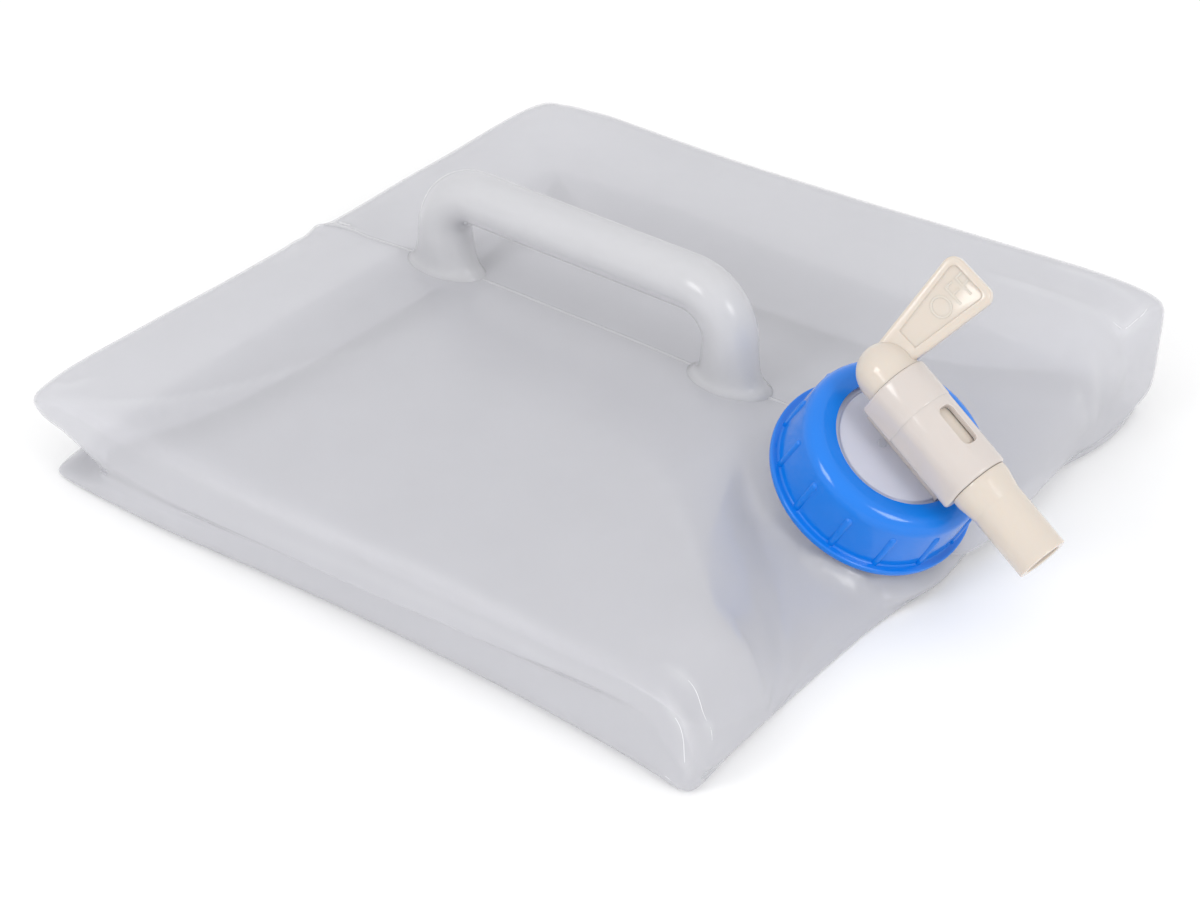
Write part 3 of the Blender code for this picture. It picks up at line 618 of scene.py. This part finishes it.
def place_ring(rim, radius, height, tilt=0.0):
    """Set the verts of a rim on a ring of the neck's own frame, in their order round it."""
    to_neck = NECK_FRAME.inverted()

    def angle_round(vert):
        spot = to_neck @ vert.co
        return Vector((spot.x, spot.y)).angle_signed(Vector((1, 0))) % (2 * pi)

    ring = sorted({vert for edge in rim for vert in edge.verts}, key=angle_round)
    for index, vert in enumerate(ring):
        angle = 2 * pi * (index + 0.5) / len(ring)
        spot = Vector((radius * cos(angle), radius * sin(angle), height - tilt * sin(angle)))
        vert.co = NECK_FRAME @ spot


def film_cage(bag):
    """A cube cut into the cage's lines, opened at the front, pressed and drawn to the neck."""
    shape = bmesh.new()
    bmesh.ops.create_cube(shape, size=2.0)
    level = [e for e in shape.edges if abs(e.verts[0].co.z - e.verts[1].co.z) < 0.01]
    bmesh.ops.subdivide_edges(shape, edges=level, cuts=2 * len(PANEL_LINES) - 3,
                              use_grid_fill=True)
    upright = [e for e in shape.edges if abs(e.verts[0].co.z - e.verts[1].co.z) > 0.01]
    bmesh.ops.subdivide_edges(shape, edges=upright, cuts=2 * len(WALL_LINES) - 3,
                              use_grid_fill=True)
    for vert in shape.verts:
        u, v = (line_value(PANEL_LINES, share) for share in vert.co[:2])
        vert.co = (u, v, line_value(WALL_LINES, vert.co.z))
    opened = []
    for face in shape.faces:
        centre = face.calc_center_median()
        on_top = centre.z > 0.999 and centre.y < -OPENING_LINE
        on_front = centre.y < -0.999 and centre.z > -0.3
        if abs(centre.x) < OPENING_LINE and (on_top or on_front):
            opened.append(face)
    bmesh.ops.delete(shape, geom=opened, context="FACES")
    for vert in shape.verts:
        vert.co = folded_point(bag, *vert.co)
    rim = [e for e in shape.edges if e.is_boundary]
    place_ring(rim, SLOPE_RING_RADIUS, SLOPE_RING_HEIGHT, SLOPE_RING_TILT)
    for height in THROAT_HEIGHTS:
        grown = bmesh.ops.extrude_edge_only(shape, edges=rim)["geom"]
        rim = [e for e in grown if isinstance(e, bmesh.types.BMEdge) and e.is_boundary]
        place_ring(rim, THROAT_RADIUS, height)
    bmesh.ops.recalc_face_normals(shape, faces=shape.faces)
    return shape


def fair_line(points):
    """A smooth line through points in millimetres, in steps of one millimetre."""
    knots = [Vector(point) / 1000 for point in points]
    knots = [knots[0] * 2 - knots[1], *knots, knots[-1] * 2 - knots[-2]]
    line = []
    for before, here, after, beyond in zip(knots, knots[1:], knots[2:], knots[3:]):
        cuts = max(1, round((after - here).length * 1000))
        for t in np.arange(cuts) / cuts:
            bend = (before * 2 - here * 5 + after * 4 - beyond) * t * t
            bend += (here * 3 - before - after * 3 + beyond) * t ** 3
            line.append(here + ((after - before) * t + bend) / 2)
    return line + [knots[-2]]


def fade_in(index, count, taper=4):
    """From 0 at a line's ends to 1 over its middle, the sooner the greater the taper."""
    return min(1.0, taper * min(index, count - 1 - index) / count)


def iron(obj, middle, reach, rounds):
    """Smooth the film within reach of a place, so that its hollow has no hard edge."""
    base_edge = 0.002
    shape = bmesh.new()
    shape.from_mesh(obj.data)
    near = [v for v in shape.verts if (v.co - middle).length < reach and v.co.z > base_edge]
    for _ in range(rounds):
        bmesh.ops.smooth_vert(shape, verts=near, factor=0.5, use_axis_x=True, use_axis_y=True,
                              use_axis_z=True)
    shape.to_mesh(obj.data)
    shape.free()


def press_creases(obj):
    """Raise each fold in the film, note where it is painted white (partly its stress whitening,
    partly a painted highlight), and let the film waver.
    """
    wave_height, wave_length = 0.00025, 0.030
    white_width = 0.0020
    base_edge, base_fade = 0.001, 0.005
    count = len(obj.data.vertices)
    places, normals = np.empty(count * 3), np.empty(count * 3)
    obj.data.vertices.foreach_get("co", places)
    obj.data.vertices.foreach_get("normal", normals)
    places, normals = places.reshape(-1, 3), normals.reshape(-1, 3)
    shift = np.array([waver(Vector(place) / wave_length) * wave_height for place in places])
    white = np.zeros(count)
    for crease in CREASES:
        line = fair_line(crease.points)
        tree = KDTree(len(line))
        for index, spot in enumerate(line):
            tree.insert(spot, index)
        tree.balance()
        reach = crease.reach / 1000
        near = (places > np.min(line, axis=0) - reach) & (places < np.max(line, axis=0) + reach)
        for vert in np.nonzero(near.all(axis=1))[0]:
            spot, index, gap = tree.find(places[vert])
            if gap < reach:
                fade = fade_in(index, len(line))
                shift[vert] += crease.rise / 1000 * fade * (1 - gap / reach) ** 2
                # The white along the fold is partly real stress whitening and partly a painted
                # highlight
                whitened = crease.white * fade * exp(-(gap / white_width) ** 2)
                white[vert] = max(white[vert], whitened)
    # The base and its edge stay as they are
    shift *= np.clip((places[:, 2] - base_edge) / base_fade, 0.0, 1.0)
    low, high = np.array(CAD_BOX)
    room = (RIDGE_ROOM, RIDGE_ROOM, 0.0)
    pressed = np.clip(places + normals * shift[:, None], low + room, high - room)
    obj.data.vertices.foreach_set("co", pressed.ravel())
    stain = obj.data.attributes.new("fold_whitening_and_painted_highlight", "FLOAT", "POINT")
    stain.data.foreach_set("value", white)
    obj.data.update()


def ridge_line(tree, line, radius, shape, taper=4):
    """Lay a thin ridge on the film, sunk by half, along a line; it tapers to both ends."""
    spots = []
    for point in line:
        spot, normal = tree.find_nearest(point)[:2]
        spots.append(spot - normal * radius * 0.5)
    for _ in range(4):
        inner = [(a + b * 2 + c) / 4 for a, b, c in zip(spots, spots[1:], spots[2:])]
        spots = [spots[0], *inner, spots[-1]]
    places = []
    for index, spot in enumerate(spots):
        along = spots[min(index + 1, len(spots) - 1)] - spots[max(index - 1, 0)]
        size = radius * max(0.15, fade_in(index, len(spots), taper))
        places.append(stance(spot, along, (size, size)))
    sweep(places, sides=8, shape=shape)


def settle(tree, x, y):
    """The film's upper surface at a place, as a point."""
    return tree.ray_cast(Vector((x, y, 0.3)), Vector((0, 0, -1)))[0]


class CARRIER_OT_film_bag(bpy.types.Operator):
    """Model the pressed bag as one soft blown shell and lay its mould seam"""

    bl_idname = "carrier.film_bag"
    bl_label = "Film bag"

    def execute(self, context):
        settings = context.scene.water_carrier
        bag = settings.bag
        film = blown_film(settings.finish)
        folded = folded_film(settings.finish)
        shell = keep_mesh(film_cage(bag), "blown_film_bag", film)
        smooth = shell.modifiers.new("Soften", "SUBSURF")
        smooth.levels = smooth.render_levels = 3
        bake_modifiers(shell)
        left_hollow = Vector((-0.056, -0.112, 0.016))
        iron(shell, left_hollow, reach=0.034, rounds=120)
        press_creases(shell)
        shell.data.shade_smooth()
        tree = BVHTree.FromObject(shell, context.evaluated_depsgraph_get())
        add_wall(shell, bag.film)
        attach(shell, "carrier")
        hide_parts("film_bag")
        ridges = bmesh.new()
        for crease in CREASES:
            if crease.ridge:
                ridge_line(tree, fair_line(crease.points), crease.ridge / 1000, ridges)
        cuts = 60
        for name, start, end in (("rear", 0.0720, 0.1215), ("front", -0.0735, 0.0560)):
            stations = [start + (end - start) * step / cuts for step in range(cuts + 1)]
            seam = bmesh.new()
            line = [settle(tree, 0.0, y) for y in stations]
            ridge_line(tree, line, bag.seam_radius, seam, taper=15)
            obj = keep_mesh(seam, "mould_seam_" + name, blown_tube(settings.finish))
            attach(obj, "carrier")
        # The ridges are painted white: partly their stress whitening, partly a painted highlight
        folds = keep_mesh(ridges, "film_folds", folded)
        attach(folds, "carrier")
        return {"FINISHED"}


def handle_places(handle):
    """Stances up the front leg, along the grip and down the back leg, with their flares."""
    front, back, foot = -0.0465, 0.0660, 0.0345
    legs, bends = 14, 12
    bend_z = handle.top - handle.radius - handle.bend
    spots = [(front, foot + (bend_z - foot) * step / legs) for step in range(legs)]
    for centre, start in ((front + handle.bend, pi), (back - handle.bend, pi / 2)):
        for step in range(bends + 1):
            angle = start - step * pi / (2 * bends)
            spots.append((centre + handle.bend * cos(angle), bend_z + handle.bend * sin(angle)))
    spots += [(back, bend_z - (bend_z - foot) * (step + 1) / legs) for step in range(legs)]
    places = []
    for index, (y, z) in enumerate(spots):
        before = spots[max(index - 1, 0)]
        after = spots[min(index + 1, len(spots) - 1)]
        along = Vector((0, after[0] - before[0], after[1] - before[1]))
        # Each leg spreads over its last 19 mm, then turns out onto the film in a small fillet
        spread = min(1.0, max(0.0, 1 - (z - 0.039) / 0.019) ** 2)
        fillet = exp(-max(0.0, z - 0.0385) / 0.0016)
        flare, turn_out = (0.25, 0.50) if y < 0 else (0.50, 0.28)
        wide = handle.radius * (1 + flare * spread + turn_out * fillet)
        thin = handle.radius * (1 - 0.16 * spread + 0.15 * fillet)
        places.append(stance(Vector((0, y, z)), along, (wide, thin), Vector((1, 0, 0))))
    return places


class CARRIER_OT_handle(bpy.types.Operator):
    """Model the tube handle with its bends and flared feet"""

    bl_idname = "carrier.handle"
    bl_label = "Carry handle"

    def execute(self, context):
        settings = context.scene.water_carrier
        handle = settings.handle
        shape = sweep(handle_places(handle), sides=40, capped=False)
        tube = keep_mesh(shape, "blown_tube_handle", blown_tube(settings.finish))
        add_wall(tube, handle.wall)
        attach(tube, "carrier")
        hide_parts("carry_handle")
        return {"FINISHED"}


def thread_shape(radius, depth, pitch, start_height, start_angle):
    """A helical ridge of 1.75 turns that fades in and out over its last sixth of a turn."""
    turns, sides = 1.75, 12
    steps = round(turns * 72)
    places = []
    for step in range(steps + 1):
        angle = start_angle + 2 * pi * turns * step / steps
        fade = min(1.0, 0.15 + step / 12, 0.15 + (steps - step) / 12)
        spot = Vector((radius * cos(angle), radius * sin(angle),
                       start_height + pitch * turns * step / steps))
        along = Vector((-sin(angle), cos(angle), pitch / (2 * pi * radius)))
        places.append(NECK_FRAME @ stance(spot, along, (depth * fade, depth * fade)))
    return sweep(places, sides)


class CARRIER_OT_neck(bpy.types.Operator):
    """Give the neck its thread and finish, and the gasket its foam"""

    bl_idname = "carrier.neck"
    bl_label = "Neck and gasket"

    def execute(self, context):
        settings = context.scene.water_carrier
        tube = blown_tube(settings.finish)
        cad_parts["threaded_neck"].data.materials[0] = tube
        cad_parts["neck_gasket"].data.materials[0] = cut_foam(settings.finish)
        shape = thread_shape(radius=0.0240, depth=0.0011, pitch=settings.cap.thread_pitch,
                             start_height=0.0030, start_angle=0.0)
        thread = keep_mesh(shape, "neck_thread", tube)
        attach(thread, "carrier")
        return {"FINISHED"}


def collar_section(cap, bore):
    """The collar's section: lip, rounded shoulder, drafted wall and flange."""
    lip_base, lip_top, crown, shoulder = 0.0204, 0.0218, 0.0224, 0.0050
    flange, foot_top, rounding = 0.0022, 0.0100, 0.0007
    foot_draft, wall_draft = 0.0002, 0.0006
    middle_x = cap.collar_radius - wall_draft - shoulder
    middle_z = crown - shoulder
    section = [(cap.lip_radius, lip_base), (cap.lip_radius, lip_top)]
    for step in range(13):
        angle = pi / 2 * (1 - step / 12)
        section.append((middle_x + shoulder * cos(angle), middle_z + shoulder * sin(angle)))
    section += soften([(cap.collar_radius - foot_draft, foot_top), (cap.collar_radius, flange),
                       (cap.flange_radius, flange), (cap.flange_radius, 0.0), (bore, 0.0),
                       (bore, foot_top)], rounding)
    return section + [(bore, lip_base)]


def collar_ribs(cap):
    """The grip ribs: long round beads that lean in with the collar's wall."""
    bead, sunk, lean = 0.00125, 0.00035, -0.04
    bottom, top = 0.0012, 0.0148
    first = radians(-156)
    shape = bmesh.new()
    for index in range(cap.ribs):
        verts = bmesh.ops.create_uvsphere(shape, u_segments=24, v_segments=16,
                                          radius=bead)["verts"]
        above = [v for v in verts if v.co.z > 0.00001]
        below = [v for v in verts if v.co.z <= 0.00001]
        bmesh.ops.translate(shape, vec=(0, 0, top), verts=above)
        bmesh.ops.translate(shape, vec=(0, 0, bottom), verts=below)
        place = (NECK_FRAME @ Matrix.Rotation(first + 2 * pi * index / cap.ribs, 4, "Z")
                 @ Matrix.Translation((cap.collar_radius - sunk, 0, 0))
                 @ Matrix.Rotation(lean, 4, "Y"))
        bmesh.ops.transform(shape, matrix=place, verts=verts)
    return shape


class CARRIER_OT_collar(bpy.types.Operator):
    """Model the blue screw collar with its flange, grip ribs, shoulder and inner thread"""

    bl_idname = "carrier.collar"
    bl_label = "Screw collar"

    def execute(self, context):
        settings = context.scene.water_carrier
        cap = settings.cap
        bore = 0.0258
        blue = moulded_blue(settings.finish)
        shape = spin_section(collar_section(cap, bore), steps=160, closed=True)
        bmesh.ops.transform(shape, matrix=NECK_FRAME, verts=shape.verts)
        collar = keep_mesh(shape, "blue_screw_collar", blue, sharp=radians(40))
        grip = keep_mesh(collar_ribs(cap), "collar_grip_ribs", blue)
        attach(grip, "collar")
        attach(collar, "collar")
        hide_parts("screw_collar")
        shape = thread_shape(radius=bore, depth=0.0009, pitch=cap.thread_pitch,
                             start_height=0.0050, start_angle=pi)
        thread = keep_mesh(shape, "collar_thread", blue)
        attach(thread, "collar")
        return {"FINISHED"}


def slab(outline, thickness, rounding=0.0):
    """A flat outline in XY, thickened evenly to both sides along Z, its two rims rounded."""
    shape = bmesh.new()
    face = shape.faces.new([shape.verts.new((x, y, -thickness / 2)) for x, y in outline])
    grown = bmesh.ops.extrude_face_region(shape, geom=[face])["geom"]
    raised = [g for g in grown if isinstance(g, bmesh.types.BMVert)]
    bmesh.ops.translate(shape, vec=(0, 0, thickness), verts=raised)
    bmesh.ops.recalc_face_normals(shape, faces=shape.faces)
    if rounding:
        rims = [e for e in shape.edges if abs(e.verts[0].co.z - e.verts[1].co.z) < 1e-7]
        bmesh.ops.bevel(shape, geom=rims, offset=rounding, offset_type="OFFSET", segments=5,
                        profile=0.5, affect="EDGES", material=-1, clamp_overlap=False)
    return shape


def arc(x, y, radius, start, end, steps):
    """Points along an arc round a centre."""
    angles = [start + (end - start) * step / steps for step in range(steps + 1)]
    return [(x + radius * cos(a), y + radius * sin(a)) for a in angles]


def slot_outline(length, width, corner):
    """A slot with rounded corners, its length along Y."""
    x, y = width / 2 - corner, length / 2 - corner
    outline = []
    for index, (side, end) in enumerate(((1, 1), (-1, 1), (-1, -1), (1, -1))):
        outline += arc(side * x, end * y, corner, index * pi / 2, (index + 1) * pi / 2, 6)
    return outline


def barrel_outline(radius):
    """The barrel's section: round above, with two rounded corners below."""
    corner = 0.0046
    inset = radius - corner
    outline = arc(0, BARREL_HEIGHT, radius, 0, pi, 32)
    outline += arc(-inset, BARREL_HEIGHT - inset, corner, pi, 1.5 * pi, 8)
    outline += arc(inset, BARREL_HEIGHT - inset, corner, 1.5 * pi, 2 * pi, 8)
    return outline


def barrel_length(name, radius, back, front, material):
    """A length of barrel between two places along the tap's Y, its rims rounded."""
    shape = slab(barrel_outline(radius), back - front, rounding=0.0009)
    middle = Matrix.Translation((0, (back + front) / 2, 0))
    bmesh.ops.transform(shape, matrix=TAP_FRAME @ middle @ ALONG_BARREL, verts=shape.verts)
    return keep_mesh(shape, name, material)


def disc_shape():
    """The clamped disc: a raised middle with a gate mark, and a skirt that centres it."""
    raised, raised_radius = DISC_TOP + 0.0007, 0.0186
    rim, skirt, skirt_wall, skirt_depth = 0.0248, 0.0199, 0.0016, 0.0045
    shape = spin_section(soften([(0.0, raised), (raised_radius, raised),
                                 (raised_radius + 0.0003, DISC_TOP), (rim, DISC_TOP),
                                 (rim, DISC_BASE), (skirt, DISC_BASE),
                                 (skirt, DISC_BASE - skirt_depth),
                                 (skirt - skirt_wall, DISC_BASE - skirt_depth),
                                 (skirt - skirt_wall, DISC_BASE), (0.0, DISC_BASE)], 0.0004),
                         steps=96, closed=False)
    gate = bmesh.ops.create_cone(shape, cap_ends=True, segments=24, radius1=0.0015,
                                 radius2=0.0012, depth=0.0004)["verts"]
    bmesh.ops.translate(shape, vec=(-0.0050, 0.0029, raised), verts=gate)
    bmesh.ops.transform(shape, matrix=TAP_FRAME, verts=shape.verts)
    return shape


def web_tool(radius, back):
    """The web that carries the barrel on the disc."""
    width, length = 0.0066, 0.0193 + back
    foot, top = DISC_TOP + 0.0001, BARREL_HEIGHT - radius + 0.001
    shape = bmesh.new()
    bmesh.ops.create_cube(shape, size=1.0)
    bmesh.ops.scale(shape, vec=(width, length, top - foot), verts=shape.verts)
    middle = Matrix.Translation((0, back - length / 2, (top + foot) / 2))
    return make_tool(shape, TAP_FRAME @ middle)


class CARRIER_OT_tap_body(bpy.types.Operator):
    """Model the clamped disc, the web and the slotted barrel"""

    bl_idname = "carrier.tap_body"
    bl_label = "Tap body"

    def execute(self, context):
        settings = context.scene.water_carrier
        finish = settings.finish
        radius = settings.tap.barrel_radius
        # The disc's base colour carries a painted reflection of the blue collar
        cloudy = moulded_natural("polypropylene_natural_disc_painted_blue_reflection", finish.disc, transmission=0.35)
        disc = keep_mesh(disc_shape(), "tap_disc", cloudy, sharp=radians(35))
        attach(disc, "tap")
        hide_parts("tap_body")
        # The sleeve stands a step proud of the barrel, over its back half
        back, front, step, bore_radius = 0.0125, -0.0241, 0.0002, 0.0078
        natural = moulded_natural("polypropylene_natural_barrel", finish.natural,
                                  transmission=0.0)
        barrel = barrel_length("tap_barrel", radius - step, back - step, front, natural)
        combine(barrel, web_tool(radius, back - 0.001), "UNION")
        sleeve = barrel_length("tap_barrel_sleeve", radius, back, 0.0, natural)
        for part in (barrel, sleeve):
            bore = bmesh.new()
            bmesh.ops.create_cone(bore, cap_ends=True, segments=64, radius1=bore_radius,
                                  radius2=bore_radius, depth=0.1)
            combine(part, make_tool(bore, BARREL_FRAME), "DIFFERENCE")
        port_place = Matrix.Translation((0, -0.0090, BARREL_HEIGHT + 0.010))
        port = slab(slot_outline(length=0.0130, width=0.0053, corner=0.0019), 0.012)
        combine(barrel, make_tool(port, TAP_FRAME @ port_place), "DIFFERENCE")
        for part, rounding in ((barrel, 0.0005), (sleeve, 0.0003)):
            round_edges(part, rounding)
            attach(part, "tap")
        return {"FINISHED"}


def lever_outline(reach, root, tip, corner, start):
    """The blade's outline along +Y, widening to a rounded tip."""
    right = arc(tip - corner, reach - corner, corner, 0, pi / 2, 10)
    left = arc(corner - tip, reach - corner, corner, pi / 2, pi, 10)
    return [(root, start)] + right + left + [(-root, start)]


def add_letters(words, side, place, material, height):
    """Raise a word on the floor of a lever's recess, reading towards its tip."""
    curve = bpy.data.curves.new("letters", "FONT")
    curve.body = words
    # The capitals stand about 0.7 of the font's size
    curve.size = height * 1.4
    curve.offset = -0.00018
    curve.extrude = 0.00012
    curve.bevel_depth = 0.00006
    curve.bevel_resolution = 1
    curve.align_x = "CENTER"
    curve.align_y = "CENTER"
    holder = link_object("letters", curve)
    mesh = evaluated_mesh(holder)
    bpy.data.objects.remove(holder, do_unlink=True)
    face = Matrix(((0, 0, side), (1, 0, 0), (0, side, 0))).to_4x4()
    narrow = Matrix.Diagonal((0.84, 1.0, 1.0, 1.0))
    mesh.transform(PLUG_FRAME @ place @ face @ narrow)
    mesh.materials.clear()
    mesh.materials.append(material)
    obj = link_object("lever_letters_" + words.lower(), mesh)
    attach(obj, "plug")


def plug_shape(spout_radius):
    """The plug's turned form along its axis: dome, hollow core, snap cone and spout."""
    core, mouth, cone, dome = 0.0075, 0.0056, 0.0089, 0.0088
    floor, dome_base, dome_middle = -0.0106, -0.0126, -0.0162
    cone_back, cone_front, spout_back, end = 0.0242, 0.0264, 0.0324, 0.0523
    section = soften([(0.0, floor), (mouth, floor), (mouth, end), (spout_radius, end),
                      (spout_radius, spout_back), (cone, cone_front), (cone, cone_back),
                      (core, cone_back), (core, dome_base), (dome, dome_base)], 0.0004)
    for step in range(17):
        angle = pi / 2 * step / 16
        section.append((dome * cos(angle), dome_middle - dome * sin(angle)))
    shape = spin_section(section, steps=96, closed=False)
    bmesh.ops.transform(shape, matrix=PLUG_FRAME, verts=shape.verts)
    return shape


class CARRIER_OT_tap_plug(bpy.types.Operator):
    """Model the rotary plug: dome, core, snap cone, spout and lever with its letters"""

    bl_idname = "carrier.tap_plug"
    bl_label = "Tap plug"

    def execute(self, context):
        settings = context.scene.water_carrier
        tap = settings.tap
        ivory = moulded_ivory(settings.finish)
        shape = plug_shape(tap.spout_radius)
        plug = keep_mesh(shape, "ivory_tap_plug", ivory, sharp=radians(40))

        thickness, root, tip, reach = 0.0044, 0.0047, 0.0089, tap.lever_reach
        lean = Matrix.Translation((0, 0, -0.0186)) @ Matrix.Rotation(radians(-3), 4, "X")
        lie = PLUG_FRAME @ lean @ Matrix.Rotation(pi / 2, 4, "Y")
        outline = lever_outline(reach, root, tip, corner=0.0035, start=0.0)
        blade = keep_mesh(slab(outline, thickness, rounding=0.0011), "lever", ivory)
        blade.data.transform(lie)

        rim, tip_rim, start, recess = 0.0026, 0.0022, 0.0108, 0.0008
        start_root = root - rim + (tip - root) * start / reach
        inner = lever_outline(reach - tip_rim, start_root, tip - rim, corner=0.0018,
                              start=start)
        for side in (-1, 1):
            face = Matrix.Translation((0, 0, side * thickness / 2))
            combine(blade, make_tool(slab(inner, 2 * recess), lie @ face), "DIFFERENCE")
        round_edges(blade, 0.0005)
        combine(plug, blade, "UNION")

        # The core's port faces the barrel's wall while the lever stands at OFF
        port_place = (PLUG_FRAME @ Matrix.Rotation(LEVER_ANGLE - pi / 2, 4, "Z")
                      @ Matrix.Translation((0, -0.0078, 0.0090)) @ ALONG_BARREL)
        port = slab(slot_outline(length=0.0142, width=0.0047, corner=0.0022), 0.012)
        combine(plug, make_tool(port, port_place), "DIFFERENCE")
        plug.data.shade_smooth()
        plug.data.set_sharp_from_angle(angle=radians(40))
        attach(plug, "plug")
        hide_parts("tap_plug")
        floor = thickness / 2 - recess
        middle = (start + reach) / 2 + 0.0039
        for words, side in (("OFF", -1), ("ON", 1)):
            place = lean @ Matrix.Translation((side * floor, middle, 0.0005))
            add_letters(words, side, place, ivory, tap.letter_height)
        return {"FINISHED"}


def sky_way(azimuth, elevation):
    """The direction to a place in the room, from its azimuth off -Y and its elevation."""
    return Vector((sin(azimuth) * cos(elevation), -cos(azimuth) * cos(elevation),
                   sin(elevation)))


def add_softbox(name, target, azimuth, elevation, away):
    """A square light of 0.4 m that faces the carrier."""
    light = bpy.data.lights.new(name, "AREA")
    light.shape = "SQUARE"
    light.size = 0.40
    light.energy = 3.5
    lamp = link_object(name, light)
    lamp.location = target + away * sky_way(azimuth, elevation)
    lamp.rotation_euler = (target - lamp.location).to_track_quat("-Z", "Y").to_euler()


def add_camera():
    """The camera as fitted to the photograph's square panel."""
    azimuth, elevation, roll = radians(-51.63), radians(33.93), radians(-0.16)
    target, away = Vector((-0.0403, -0.0286, 0.027)), 0.8330
    back = sky_way(azimuth, elevation)
    right = Vector((cos(azimuth), sin(azimuth), 0.0))
    x = right * cos(roll) + back.cross(right) * sin(roll)
    turn = Matrix((x, back.cross(x), back)).transposed().to_4x4()
    lens = bpy.data.cameras.new("photo_camera")
    lens.lens = 84.0
    lens.sensor_width = 36.0
    camera = link_object("photo_camera", lens)
    camera.matrix_world = Matrix.Translation(target + back * away) @ turn
    return camera


class CARRIER_OT_stage(bpy.types.Operator):
    """Set the pale floor, the soft lights and the camera"""

    bl_idname = "carrier.stage"
    bl_label = "Stage"

    def execute(self, context):
        scene = context.scene
        below_base = -0.0002
        shape = bmesh.new()
        bmesh.ops.create_grid(shape, x_segments=1, y_segments=1, size=6.0)
        bmesh.ops.translate(shape, vec=(0, 0, below_base), verts=shape.verts)
        floor = keep_mesh(shape, "pale_floor", painted_floor(scene.water_carrier.finish))
        world = bpy.data.worlds.new("soft_white_room")
        world.use_nodes = True
        room = world.node_tree.nodes["Background"]
        room.inputs["Color"].default_value = (1.0, 1.0, 1.0, 1.0)
        room.inputs["Strength"].default_value = 1.0
        scene.world = world
        target = Vector((-0.02, -0.05, 0.03))
        add_softbox("left_softbox", target, radians(-102), radians(32), away=1.25)
        add_softbox("right_softbox", target, radians(-12), radians(34), away=1.30)
        scene.camera = add_camera()
        scene.view_settings.view_transform = "Standard"
        return {"FINISHED"}


MAKING = (CARRIER_OT_film_bag, CARRIER_OT_handle, CARRIER_OT_neck, CARRIER_OT_collar,
          CARRIER_OT_tap_body, CARRIER_OT_tap_plug, CARRIER_OT_stage)


class CARRIER_PT_making(bpy.types.Panel):
    """The water carrier's operators, sizes and colours"""

    bl_idname = "CARRIER_PT_making"
    bl_label = "Water Carrier"
    bl_space_type = "VIEW_3D"
    bl_region_type = "UI"
    bl_category = "Water Carrier"

    def draw(self, context):
        layout = self.layout
        for operator in MAKING:
            layout.operator(operator.bl_idname)
        settings = context.scene.water_carrier
        for group in (settings.bag, settings.handle, settings.cap, settings.tap, settings.finish):
            box = layout.box()
            for name in group.bl_rna.properties.keys():
                if name not in {"rna_type", "name"}:
                    box.prop(group, name)


CLASSES = (BagSizes, HandleSizes, CapSizes, TapSizes, Finishes, CarrierSettings, *MAKING,
           CARRIER_PT_making)


def register():
    """Register the classes and give each scene its settings."""
    for item in CLASSES:
        bpy.utils.register_class(item)
    bpy.types.Scene.water_carrier = PointerProperty(type=CarrierSettings)


def unregister():
    """Take the settings and the classes away again."""
    del bpy.types.Scene.water_carrier
    for item in reversed(CLASSES):
        bpy.utils.unregister_class(item)


def main():
    """Make every piece and the stage."""
    register()
    bpy.ops.carrier.film_bag()
    bpy.ops.carrier.handle()
    bpy.ops.carrier.neck()
    bpy.ops.carrier.collar()
    bpy.ops.carrier.tap_body()
    bpy.ops.carrier.tap_plug()
    bpy.ops.carrier.stage()


if __name__ == "__main__":
    main()
